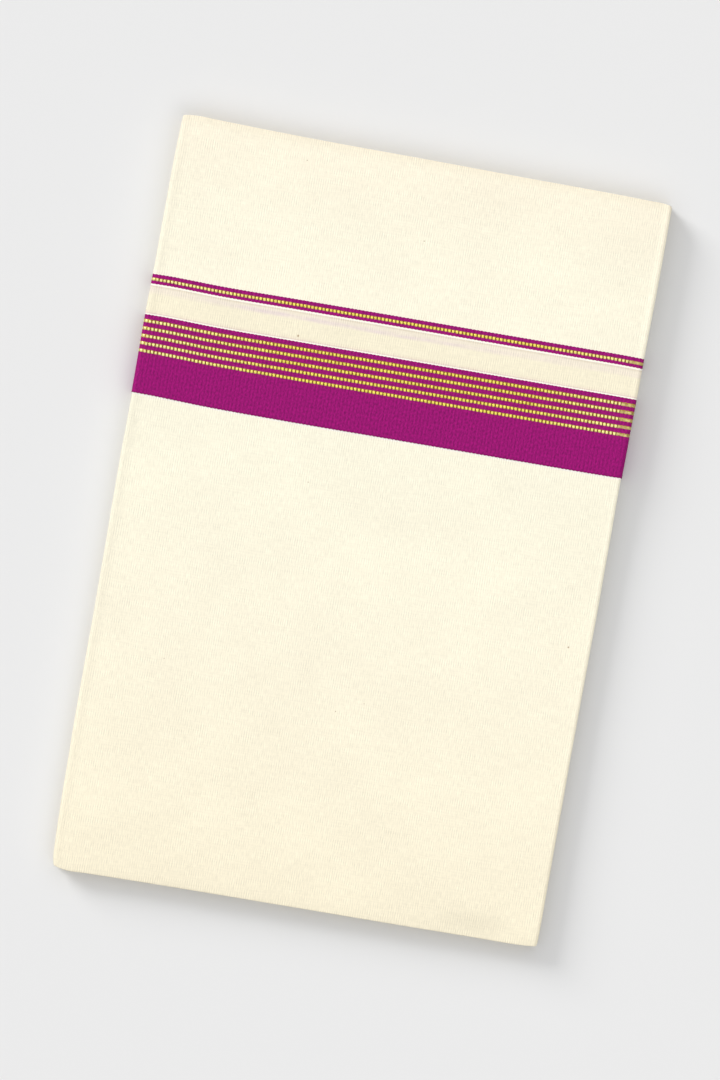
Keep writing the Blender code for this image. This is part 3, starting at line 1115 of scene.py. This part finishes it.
@dataclass
class Stretch:
    """A stretch of the outermost strip, as a thin closed shell round the pack.

    Attributes:
        name: The piece's name.
        form: The pack's form.
        layout: The border's stripes, for the pitch of the ribs.
        rows: Its rows, bottom to top.
        columns: Its places along the strip.
        thickness: The shell's thickness.
        depth: How deep its outer face lies under the outermost face, for each row.
        rib_height: How high the woven ribs stand, for each row.
        nose: The radius of its fold at an end of the pack.
        scallop: How far the first row steps in and out at each rib.
    """

    name: str
    form: PackForm
    layout: BorderLayout
    rows: list[Row]
    columns: Array
    thickness: float = 0.22
    depth: Array | float = 0.0
    rib_height: Array | float = 0.0
    nose: float = 0.21
    scallop: float = 0.0

    def build(self, materials: list) -> bpy.types.Object:
        """Builds the shell.

        Args:
            materials: Its materials.

        Returns:
            The piece.
        """
        count = len(self.columns)
        y, turn, back = (np.repeat(np.array(column)[:, None], count, 1) for column in zip(*self.rows))
        along = np.repeat(self.columns[None, :], len(self.rows), 0)
        depth, ribs = (np.broadcast_to(np.reshape(value, (-1, 1)), y.shape)
                       for value in (self.depth, self.rib_height))
        line = self.form.wrap(along, y, depth)
        rib_wave = np.cos(math.tau * along / self.layout.rib)
        rise = PressedCloth().rise(line, along, y)
        rise = rise + ribs * (1.0 - 0.7 * line.turned) * (rib_wave - 1.0) / 2.0
        end = np.sign(turn)
        angle = np.abs(turn)
        sunk = self.nose * (1.0 - np.cos(angle))
        ahead = end * (self.nose * (np.sin(angle) - 1.0) - back) * (angle > 0.0)
        step_in = np.zeros_like(y)
        step_in[0] = self.scallop * (0.5 - 0.5 * rib_wave[0])
        out = np.stack([line.out_x, np.zeros_like(y), line.out_z], -1)
        base = np.stack([line.x, self.form.place(line.x, y) + ahead + step_in, line.z], -1)
        outer = base + out * (rise - sunk)[..., None]
        facing = out * np.cos(angle)[..., None]
        facing[..., 1] = end * np.sin(angle)
        inner = outer - facing * self.thickness
        for face in (outer, inner):
            face[..., 2] = np.maximum(face[..., 2], 0.0)
        cloth = np.stack([along, y + ahead, line.turned], -1)
        return shell_object(self.name, outer, inner, cloth, materials)


def end_rows(form: PackForm, end: End, back: float, steps: int = 6) -> list[Row]:
    """The rows of a fold at an end of the pack, from the tucked edge out to the face.

    Args:
        form: The pack's form.
        end: Which end.
        back: How far the cloth runs back into the pack.
        steps: Steps round the fold.

    Returns:
        The rows.
    """
    y = form.end_y(end)
    rows = [Row(y, end.value * math.pi, back)]
    rows += [Row(y, end.value * math.pi * (1.0 - step / steps), 0.0) for step in range(steps)]
    return rows


def spread(low: float, high: float, step: float) -> list[float]:
    """Evenly spaced places from low to high, both included, about a step apart."""
    count = max(1, round((high - low) / step))
    return [low + (high - low) * place / count for place in range(count + 1)]


@dataclass
class OutermostStrip:
    """The cloth that shows all round: the front, the border and the flap above it.

    Attributes:
        form: The pack's form.
        layout: The border's stripes.
        sheet: The thickness of a sheet of the cloth.
        row_step: The distance between rows on plain cloth.
        under_flap: How far the front cloth is built on under the flap.
        back: How far the cloth is built on past its fold at an end.
        rib_height: How high the ribs of the border stand.
        samples_per_rib: Points to each rib along the cloth.
        end_steps: How far the rows next to an end lie from it, closer where the cloth bends.
        front_depth: How deep the front cloth lies under the outermost face.
        flap_step: How much deeper it lies where it goes under the flap.
    """

    form: PackForm
    layout: BorderLayout
    sheet: float = 0.22
    row_step: float = 3.0
    under_flap: float = 16.0
    back: float = 4.0
    rib_height: float = 0.09
    samples_per_rib: int = 5
    end_steps: tuple[float, ...] = (0.4, 0.9, 1.6, 2.6, 4.0)
    front_depth: float = 0.02
    flap_step: float = 0.3

    def rib_columns(self) -> Array:
        """Places along the strip, a few to each rib."""
        start, stop = self.form.span()
        step = self.layout.rib / self.samples_per_rib
        return np.arange(math.ceil(start / step), math.floor(stop / step) + 1) * step

    def length_round(self) -> float:
        """How much of the cloth's length shows round the pack, in metres."""
        start, stop = self.form.span()
        return (stop - start) * MM

    def front(self, finishes: Finishes) -> bpy.types.Object:
        """The front cloth, from its fold at the bottom to under the flap."""
        form = self.form
        near_end = [form.bottom_y + step for step in self.end_steps]
        plain = spread(form.bottom_y + 6.0, form.selvedge_y - 2.0, self.row_step)
        tucked = [form.selvedge_y + step for step in (0.0, 1.0, 3.0, 8.0, self.under_flap)]
        rows = end_rows(form, End.BOTTOM, self.back) + [Row(y) for y in (*near_end, *plain, *tucked)]
        sinking = [float(eased(row.y, form.selvedge_y - 40.0, form.selvedge_y - 0.5)) for row in rows]
        depth = np.array([self.front_depth + self.flap_step * share for share in sinking])
        piece = Stretch("front_cloth", form, self.layout, rows, form.columns(), self.sheet,
                        depth=depth).build([finishes.cream])
        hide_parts("outer_panel")
        self.length_round()
        return piece

    def ribbed(self, name: str, low: float, high: float, finishes: Finishes,
               scallop: float = 0.0) -> bpy.types.Object:
        """A ribbed stretch of the border.

        Args:
            name: The piece's name.
            low: Where it starts, up the pack.
            high: Where it ends.
            finishes: The cloth's finishes.
            scallop: How far its first edge steps in and out at each rib.

        Returns:
            The piece.
        """
        ys = spread(low, high, 2.4)
        ys = [ys[0], ys[0] + 0.5, *ys[1:-1], ys[-1] - 0.4, ys[-1]]
        edge = 1.0 if scallop else 0.0
        heights = np.array([self.rib_height * edge] + [self.rib_height] * (len(ys) - 2) + [0.0])
        return Stretch(name, self.form, self.layout, [Row(y) for y in ys], self.rib_columns(),
                       self.sheet, rib_height=heights, scallop=scallop).build([finishes.magenta])

    def flap(self, finishes: Finishes, zari: bpy.types.Object) -> list[bpy.types.Object]:
        """The flap: its border, the plain gap, the thin stripe and the cloth up to the top fold.

        Args:
            finishes: The cloth's finishes.
            zari: The gold floats that lie on it.

        Returns:
            The four stretches.
        """
        form, layout = self.form, self.layout
        band_top, stripe_low, stripe_high = layout.edges(form.selvedge_y)
        past = layout.past_edge
        band = self.ribbed("woven_border", form.selvedge_y, band_top + past, finishes, scallop=0.22)
        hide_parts("border_band")
        gap_ys = spread(band_top + past, stripe_low - past, 2.0)
        gap = Stretch("border_gap", form, layout, [Row(y) for y in gap_ys], form.columns(),
                      self.sheet).build([finishes.cream])
        stripe = self.ribbed("thin_stripe", stripe_low - past, stripe_high + past, finishes)
        near_end = [form.top_y - step for step in self.end_steps[::-1]]
        plain = spread(stripe_high + past, form.top_y - 6.0, self.row_step)
        rows = [Row(y) for y in (*plain, *near_end)] + end_rows(form, End.TOP, self.back)[::-1]
        upper = Stretch("flap_upper", form, layout, rows, form.columns(), self.sheet,
                        nose=0.2).build([finishes.cream])
        for piece in (gap, stripe, upper):
            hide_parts("flap_cloth")
        around = self.length_round()
        for piece, height, with_it in ((band, layout.band_height(), [zari]), (gap, layout.gap, []),
                                       (upper, form.top_y - stripe_high + self.back, [stripe])):
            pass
        return [band, gap, stripe, upper]


@dataclass
class ZariFloats:
    """The rows of gold floats, one float to each rib, as one joined mesh of small closed pillows.

    Attributes:
        form: The pack's form.
        layout: The border's stripes.
        length: A float's length along the cloth.
        height: How far it stands out.
        sink: How deep its edge sits in the cloth.
        across: Points along a float.
        up: Points up a float.
    """

    form: PackForm
    layout: BorderLayout
    length: float = 1.5
    height: float = 0.26
    sink: float = 0.05
    across: int = 6
    up: int = 5

    def build(self, finishes: Finishes) -> bpy.types.Object:
        """Builds all the floats.

        Args:
            finishes: The cloth's finishes.

        Returns:
            The piece.
        """
        start, stop = self.form.span()
        rib = self.layout.rib
        numbers = np.arange(math.ceil(start / rib) + 1, math.floor(stop / rib))
        draw = np.random.default_rng(3)
        points, cloth = [], []
        for middle, tall in self.layout.gold_lines():
            made = self.row(numbers * rib, self.form.selvedge_y + middle, tall, draw)
            points.append(made[0])
            cloth.append(made[1])
        points = np.concatenate(points)
        cloth = np.concatenate(cloth)
        size = self.across * self.up
        starts = np.arange(len(points)) * size
        top = grid_faces(self.up, self.across)
        faces = (top[None] + starts[:, None, None]).reshape(-1, 4).tolist()
        rim = grid_rim(self.up, self.across)[::-1]
        faces += (rim[None] + starts[:, None]).tolist()
        piece = piece_object("zari_floats", points, faces, cloth, [finishes.zari])
        return piece

    def row(self, along: Array, y: float, tall: float, draw: np.random.Generator) -> tuple[Array, Array]:
        """One row of floats.

        Args:
            along: Each float's middle along the cloth.
            y: The row's place up the pack.
            tall: The stripe's height.
            draw: Draws what makes the floats uneven.

        Returns:
            The floats' points, and their places on the cloth.
        """
        count = len(along)
        u = np.linspace(-1.0, 1.0, self.across)[None, None, :]
        v = np.linspace(-1.0, 1.0, self.up)[None, :, None]
        uneven = draw.uniform(-1.0, 1.0, (4, count))[:, :, None, None]
        bent = self.bent(along, y)[:, None, None]
        half = self.length / 2.0 * (1.0 + 0.05 * uneven[0])
        half = half * (1.0 - bent) + (self.layout.rib / 2.0 + 0.02) * bent
        # The ends of a float are rounded, so its sides draw in towards them
        waist = 1.0 - 0.13 * (u**2) * (1.0 - bent)
        place_along = along[:, None, None] + half * u * (1.0 - 0.08 * v**2)
        place_up = y + 0.53 * tall * v * waist * (1.0 + 0.04 * uneven[1]) + 0.04 * uneven[2] * (1.0 - bent)
        dome_along = (1.0 - np.abs(u) ** 2.6) ** 0.5 * (1.0 - bent) + bent
        dome_up = (1.0 - np.abs(v) ** 4.0) ** 0.5
        height = self.height * (1.0 + 0.12 * uneven[3]) * (1.0 - 0.65 * bent)
        line = self.form.wrap(place_along, place_up)
        rise = dome_along * dome_up * height - self.sink + PressedCloth().rise(line, place_along, place_up)
        points = np.stack([line.x + line.out_x * rise, self.form.place(line.x, place_up),
                           np.maximum(line.z + line.out_z * rise, 0.0)], -1)
        # The painted highlight of each float: strongest on its top, gone at its ends, and weaker where the
        # float is pulled flat over a side
        shine_lost = bent * np.where(place_along > 0.0, 0.6, 0.35)
        shine = np.clip(dome_along**1.65 * (0.45 + 0.55 * dome_up) * (1.0 - shine_lost), 0.0, 1.0)
        cloth = np.stack([place_along, place_up, shine], -1)
        return points, cloth

    def bent(self, along: Array, y: float) -> Array:
        """How far a float is pulled flat where the cloth rolls over a side.

        Args:
            along: The floats' places along the cloth.
            y: The row's place up the pack.

        Returns:
            From 0 on flat cloth to 1 on a side.
        """
        radius = float(self.form.top(y)) / 2.0
        right_x = float(self.form.right(y)) - radius
        arc = self.form.right_fold.length() * radius
        ahead = eased(along, right_x - 1.6, right_x + 0.8)
        ahead = ahead * (1.0 - eased(along, right_x + arc - 0.8, right_x + arc + 1.6))
        left_x = float(self.form.left(y)) + radius / 2.0
        return np.maximum(ahead, 1.0 - eased(along, left_x - 2.8, left_x - 1.4))


class ChainPoint(NamedTuple):
    """Points along the folded strip's middle line: where they are, and the side that the flap is on."""

    x: Array
    z: Array
    side_x: Array
    side_z: Array
    strip: Array


class Nose(NamedTuple):
    """A row of noses at an end: its place and half height in strips, and how far it stops short."""

    offset: float
    half: float
    least: float
    most: float
    seed: int


# At the top each strip has two folds. At the bottom it has one, beside a selvedge set back
END_NOSES = {
    End.TOP: (Nose(0.25, 0.25, 0.15, 0.75, 17), Nose(-0.25, 0.25, 0.2, 0.9, 29)),
    End.BOTTOM: (Nose(0.17, 0.33, 0.15, 0.8, 17), Nose(-0.33, 0.17, 3.2, 4.2, 29)),
}


@dataclass
class InnerStrips:
    """The strips inside the pack, as far as they show: noses at the ends, and the left side's layers.

    Attributes:
        form: The pack's form.
        layout: The border's stripes.
        nose_depth: How deep the noses are built.
        cut_setback: How far the cut ends stop short of the left side.
        fold_setback: How far the small fold among them stops short.
        run_points: Points along a flat run of a strip.
        fold_points: Steps round a fold.
        smoothing: Over how many points a row's setback passes from one strip's step to the next.
        least_setback: The smallest setback of a nose.
        fold_depth: How deep the small fold is built.
        cut_depth: How deep the cut ends are built.
        sheets: How many sheets show at a cut end.
        core_inset: How far the solid behind it all stays in from the front and the underside.
    """

    form: PackForm
    layout: BorderLayout
    nose_depth: float = 7.0
    cut_setback: float = 2.4
    fold_setback: float = 0.9
    run_points: int = 46
    fold_points: int = 14
    smoothing: int = 41
    least_setback: float = 0.12
    fold_depth: float = 9.0
    cut_depth: float = 7.0
    sheets: int = 4
    core_inset: float = 0.9

    def chain(self, y: float) -> ChainPoint:
        """Follows the cloth through the whole pack at one place up it.

        Args:
            y: The place up the pack.

        Returns:
            The points of the strip's middle line, with its flap side.
        """
        form = self.form
        top = float(form.top(y))
        thick = top / form.strips
        left, right = float(form.left(y)), float(form.right(y))
        right_x = right - top / 2.0
        z = {number: top - (number - 0.5) * thick for number in STRIP_ORDER}
        starts = {9: left + self.cut_setback, 10: left + self.cut_setback}
        for number in STRIP_ORDER:
            if number <= 8:
                starts[number] = left + top / 4.0
            elif number >= 13:
                starts[number] = left + top / 8.0
            elif number >= 11:
                starts[number] = left + self.fold_setback + thick
        points = []
        for place, number in enumerate(STRIP_ORDER):
            rightward = place % 2 == 0
            run = np.linspace(starts[number], right_x, self.run_points)
            run = run if rightward else run[::-1]
            way = 1.0 if rightward else -1.0
            points += [(x, z[number], 0.0, way, number) for x in run]
            if place == len(STRIP_ORDER) - 1:
                break
            after = STRIP_ORDER[place + 1]
            centre_x = right_x if rightward else starts[number]
            centre_z = (z[number] + z[after]) / 2.0
            radius = abs(z[number] - z[after]) / 2.0
            rising = z[after] > z[number]
            curve = form.right_fold if rightward else form.left_fold
            for step in range(1, self.fold_points):
                share = step / self.fold_points
                over, lift, face_x, face_z = curve.at(np.array(1.0 - share if rising else share))
                out = 1.0 if (rightward != rising) else -1.0
                points.append((centre_x + way * radius * over, centre_z + radius * lift,
                               out * way * face_x, out * face_z, number))
        return ChainPoint(*(np.array(column) for column in zip(*points)))

    def nose_bar(self, chain: ChainPoint, end: End, nose: Nose) -> tuple[Array, list, Array]:
        """A rounded bar along the strip: the nose that folded cloth shows at an end of the pack.

        Args:
            chain: The strip's middle line there.
            end: Which end of the pack.
            nose: The row's sizes.

        Returns:
            Its points, faces and places on the cloth.
        """
        profile = ((0.8, 1.0), (0.97, 0.35), (1.0, 0.09), (0.72, 0.025), (0.3, 0.0))
        ring = [(side * wide, depth) for side, shapes in ((1.0, profile), (-1.0, profile[::-1]))
                for wide, depth in shapes]
        y = self.form.end_y(end)
        thick = float(self.form.strip(y))
        setback = self.setbacks(chain, nose)
        over = np.array([wide for wide, _ in ring])[None, :] * (nose.half * thick * 0.96)
        over = over + nose.offset * thick
        inwards = np.array([depth for _, depth in ring])[None, :] * self.nose_depth + setback[:, None]
        place = self.form.place(chain.x, np.full(len(chain.x), y))
        points = np.stack([chain.x[:, None] + chain.side_x[:, None] * over,
                           place[:, None] - end.value * inwards,
                           chain.z[:, None] + chain.side_z[:, None] * over], -1)
        points[..., 2] = np.maximum(points[..., 2], 0.0)
        length, wide = points.shape[:2]
        run = np.repeat(run_length(chain.x, chain.z)[:, None], wide, 1)
        cloth = np.stack([run, points[..., 1], np.zeros((length, wide))], -1)
        return points.reshape(-1, 3), bar_faces(length, wide), cloth.reshape(-1, 3)

    def order(self, chain: ChainPoint) -> Array:
        """The place of each point's strip in the order of the cloth."""
        return np.array([STRIP_ORDER.index(int(number)) for number in chain.strip])

    def setbacks(self, chain: ChainPoint, nose: Nose) -> Array:
        """How far a row of noses stops short of the end: a step for each strip, and soft waves.

        Args:
            chain: The strip's middle line.
            nose: The row's sizes, with the seed that picks the steps.

        Returns:
            The setback at each point.
        """
        draw = np.random.default_rng(nose.seed)
        steps = draw.uniform(nose.least, nose.most, len(STRIP_ORDER) + 1)
        order = self.order(chain)
        near = np.ones(self.smoothing) / self.smoothing
        soft = np.convolve(steps[order], near, mode="same")
        lag = np.convolve(np.ones(len(order)), near, mode="same")
        waves = SoftWaves(nose.seed, 60.0, 170.0, 5).at(run_length(chain.x, chain.z))
        return np.maximum(soft / lag + 0.16 * waves, self.least_setback)

    def end_noses(self, end: End, finishes: Finishes) -> bpy.types.Object:
        """All the noses at one end of the pack.

        Args:
            end: Which end.
            finishes: The cloth's finishes.

        Returns:
            The piece.
        """
        chain = self.chain(self.form.end_y(end))
        first, second = END_NOSES[end]
        parts = [ChainPoint(*(column[part] for column in chain))
                 for part in self.runs(~self.outermost(chain))]
        bars = [self.nose_bar(part, end, first) for part in parts]
        bars.append(self.nose_bar(chain, end, second))
        name = "strip_ends_bottom" if end is End.BOTTOM else "strip_ends_top"
        return self.joined(name, bars, [finishes.cream])

    def outermost(self, chain: ChainPoint) -> Array:
        """Where the strip is the one that shows all round the pack, its tucked ends included."""
        first, last = STRIP_ORDER.index(8), STRIP_ORDER.index(13)
        order = self.order(chain)
        inside = (order > first) & (order < last)
        near = chain.x < float(self.form.left(0.0)) + self.form.tuck + 3.0
        return inside | (near & ((order == first) | (order == last)))

    def runs(self, keep: Array) -> list[Array]:
        """Splits the points to keep into unbroken runs of their numbers."""
        numbers = np.flatnonzero(keep)
        breaks = np.flatnonzero(np.diff(numbers) > 1) + 1
        return [part for part in np.split(numbers, breaks) if len(part) > 2]

    def joined(self, name: str, bars: list, materials: list,
               face_materials: Array | None = None) -> bpy.types.Object:
        """Joins meshes into one piece, which stands for a part of the hidden layers.

        Args:
            name: The piece's name.
            bars: Points, faces and places on the cloth of each.
            materials: The piece's materials.
            face_materials: Which material each face has.

        Returns:
            The piece.
        """
        points, faces, cloth = [], [], []
        count = 0
        for its_points, its_faces, its_cloth in bars:
            points.append(its_points)
            cloth.append(its_cloth)
            faces += [[number + count for number in face] for face in its_faces]
            count += len(its_points)
        piece = piece_object(name, np.concatenate(points), faces, np.concatenate(cloth), materials,
                             face_materials)
        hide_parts("hidden_layers")
        return piece

    def zone_rows(self) -> Array:
        """Places up the pack for the left side's layers, with one at each edge of a stripe."""
        form = self.form
        edges = [form.bottom_y + 1.5, form.selvedge_y, *self.layout.edges(form.selvedge_y),
                 form.top_y - 1.5]
        ys = []
        for low, high in zip(edges, edges[1:]):
            ys += spread(low, high, 2.5)[:-1]
        return np.array([*ys, edges[-1]])

    def zone_material(self, y: Array) -> Array:
        """Which material faces have between two rows: 0 cream, 1 magenta."""
        band_top, stripe_low, stripe_high = self.layout.edges(self.form.selvedge_y)
        middle = (y[1:] + y[:-1]) / 2.0
        band = (middle > self.form.selvedge_y) & (middle < band_top)
        thin = (middle > stripe_low) & (middle < stripe_high)
        return (band | thin).astype(int)

    def bar_up(self, ys: Array, section: Array) -> tuple[Array, list, Array]:
        """A closed bar that runs up the pack.

        Args:
            ys: Its rows' places up the pack.
            section: For each row, its ring of points in X and Z.

        Returns:
            Its points, faces and places on the cloth.
        """
        rows, wide = section.shape[:2]
        up = np.repeat(ys[:, None], wide, 1)
        points = np.stack([section[..., 0], self.form.place(section[..., 0], up), section[..., 1]], -1)
        cloth = np.stack([section[..., 1] + section[..., 0], up, np.zeros((rows, wide))], -1)
        return points.reshape(-1, 3), bar_faces(rows, wide), cloth.reshape(-1, 3)

    def middle_fold(self, finishes: Finishes) -> bpy.types.Object:
        """The small fold of the eleventh and twelfth strips on the left side."""
        ys = self.zone_rows()
        form = self.form
        thick = form.strip(ys)
        middle = form.top(ys) * 5.0 / form.strips
        nose = form.left(ys) + self.fold_setback + 0.25 * SoftWaves(41, 40.0, 130.0, 5).at(ys)
        radius = thick * 0.97
        ring = [(nose + radius + radius * math.cos(angle), middle + radius * math.sin(angle))
                for angle in np.linspace(math.pi / 2.0, math.pi * 1.5, 13)]
        inside = nose + self.fold_depth
        ring = [(inside, middle + radius * 0.9), *ring, (inside, middle - radius * 0.9)]
        section = np.stack([np.stack(point, -1) for point in ring], 1)
        zones = np.repeat(self.zone_material(ys), section.shape[1])
        return self.joined("middle_fold", [self.bar_up(ys, section)], [finishes.cream, finishes.magenta],
                           np.concatenate([zones, [0, 0]]))

    def cut_ends(self, finishes: Finishes) -> bpy.types.Object:
        """The two cut ends of the cloth: sheets that end a little unevenly on the left side."""
        form = self.form
        ys = self.zone_rows()
        bars, zones = [], []
        for strip, flap_up in ((9, True), (10, False)):
            middle = form.top(ys) * (1.0 - (strip - 0.5) / form.strips)
            thick = form.strip(ys)
            for sheet in range(self.sheets):
                level = (sheet + 0.5) / self.sheets - 0.5
                z = middle + thick * level * (-1.0 if flap_up else 1.0)
                waves = SoftWaves(60 + 4 * strip + sheet, 18.0, 120.0, 7).at(ys)
                fray = SoftWaves(90 + 4 * strip + sheet, 5.0, 9.0, 5).at(ys)
                edge = form.left(ys) + self.cut_setback + 0.45 * waves + 0.12 * fray
                half = thick / self.sheets * 0.42
                ring = [(self.cut_depth, 1.0), (0.12, 1.0), (0.0, 0.4),
                        (0.0, -0.4), (0.12, -1.0), (self.cut_depth, -1.0)]
                section = np.stack([np.stack([edge + inward, z + half * side], -1)
                                    for inward, side in ring], 1)
                bars.append(self.bar_up(ys, section))
                coloured = self.zone_material(ys) if sheet == 0 else np.zeros(len(ys) - 1, int)
                zones.append(np.concatenate([np.repeat(coloured, len(ring)), [0, 0]]))
        return self.joined("cut_ends", bars, [finishes.cream, finishes.magenta], np.concatenate(zones))

    def core(self, finishes: Finishes) -> bpy.types.Object:
        """The body of strips behind all that, one rounded solid."""
        form = self.form
        ys = np.array(spread(form.bottom_y + self.nose_depth - 0.5, form.top_y - self.nose_depth + 0.5, 6.0))
        top = form.top(ys)
        under = self.core_inset
        radius = top / 2.0 - under
        right_x = form.right(ys) - top / 2.0
        left_x = form.left(ys) + 6.0
        across = [left_x + (right_x - left_x) * share for share in (0.0, 0.25, 0.5, 0.75)]
        ring = [np.stack([x, top - under], -1) for x in across]
        for share in np.linspace(0.0, 1.0, 19):
            over, lift, _, _ = form.right_fold.at(share)
            ring.append(np.stack([right_x + radius * over, top / 2.0 + radius * lift], -1))
        ring += [np.stack([x, np.full_like(ys, under)], -1) for x in across[::-1]]
        return self.joined("inner_strips", [self.bar_up(ys, np.stack(ring, 1))], [finishes.cream])


@dataclass
class Studio:
    """The pale ground, the camera straight above and the soft light.

    Attributes:
        turn: How far the camera is turned about the vertical, in degrees.
        view_x: Where the camera looks, across the pack.
        view_y: Where it looks, up the pack.
        view_height: How much of the ground the picture's height takes in.
        lens: The lens in millimetres. It is long, so the sides stay hidden as in the photo.
        cloth_z: The height at which the picture's scale holds.
    """

    turn: float = 10.07
    view_x: float = 0.45
    view_y: float = -3.1
    view_height: float = 523.8
    lens: float = 240.0
    sensor: float = 36.0
    cloth_z: float = 11.5
    ground_size: float = 6000.0
    light: float = 0.99

    def ground(self) -> bpy.types.Object:
        """Makes the ground."""
        bpy.ops.mesh.primitive_plane_add(size=self.ground_size * MM, location=(0.0, 0.0, -0.00002))
        item = bpy.context.object
        item.name = "ground"
        item.data.materials.append(PaperGround().build())
        return item

    def camera(self) -> bpy.types.Object:
        """Makes the camera, straight above the pack."""
        data = bpy.data.cameras.new("camera")
        data.lens = self.lens
        data.sensor_width = self.sensor
        item = bpy.data.objects.new("camera", data)
        height = self.view_height * self.lens / self.sensor + self.cloth_z
        item.location = (self.view_x * MM, self.view_y * MM, height * MM)
        item.rotation_euler = (0.0, 0.0, math.radians(self.turn))
        bpy.context.scene.collection.objects.link(item)
        bpy.context.scene.camera = item
        return item

    def lamp(self, name: str, bearing: float, elevation: float, size: float, share: float) -> None:
        """Adds a wide, far lamp.

        Args:
            name: The lamp's name.
            bearing: Where its light comes from, in degrees from +X towards +Y.
            elevation: How high it stands, in degrees.
            size: How wide it looks, in degrees.
            share: Its share of the light on the ground.
        """
        data = bpy.data.lights.new(name, "SUN")
        data.angle = math.radians(size)
        data.energy = share * self.light * math.pi / math.sin(math.radians(elevation))
        item = bpy.data.objects.new(name, data)
        up = math.radians(elevation)
        way = math.radians(bearing)
        towards = Vector((math.cos(up) * math.cos(way), math.cos(up) * math.sin(way), math.sin(up)))
        item.rotation_mode = "QUATERNION"
        item.rotation_quaternion = towards.to_track_quat("Z", "Y")
        bpy.context.scene.collection.objects.link(item)

    def lights(self) -> None:
        """Adds a wide light above, a low key from the upper left and a weak one from the lower right."""
        self.lamp("top_light", 90.0, 89.5, 110.0, 0.488)
        self.lamp("key_light", 145.0, 24.0, 28.0, 0.295)
        self.lamp("counter_light", -48.0, 56.0, 40.0, 0.101)
        world = bpy.data.worlds.new("studio")
        world.use_nodes = True
        back = world.node_tree.nodes["Background"]
        back.inputs["Color"].default_value = (1.0, 1.0, 1.0, 1.0)
        back.inputs["Strength"].default_value = 0.27 * self.light
        bpy.context.scene.world = world
        bpy.context.scene.view_settings.view_transform = "Standard"
        bpy.context.scene.view_settings.look = "None"

    def build(self) -> None:
        """Sets the scene up."""
        self.ground()
        self.camera()
        self.lights()


def main() -> None:
    """Builds the pack, piece by piece."""
    logging.basicConfig(level=logging.INFO, format="%(name)s: %(message)s")
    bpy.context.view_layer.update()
    form = PackForm()
    layout = BorderLayout()
    finishes = Finishes(CreamCotton().build(form, layout), MagentaBorder().build(form, layout),
                        ZariThread().build())
    Studio().build()
    inner = InnerStrips(form, layout)
    pieces = [inner.core(finishes), inner.end_noses(End.BOTTOM, finishes),
              inner.end_noses(End.TOP, finishes), inner.middle_fold(finishes), inner.cut_ends(finishes)]
    strip = OutermostStrip(form, layout)
    zari = ZariFloats(form, layout).build(finishes)
    pieces += [zari, strip.front(finishes), *strip.flap(finishes, zari)]
    for piece in pieces:
        size = [round(value / MM, 1) for value in piece.dimensions]
        LOG.info("%s: %s mm, %d faces", piece.name, size, len(piece.data.polygons))


if __name__ == "__main__":
    main()
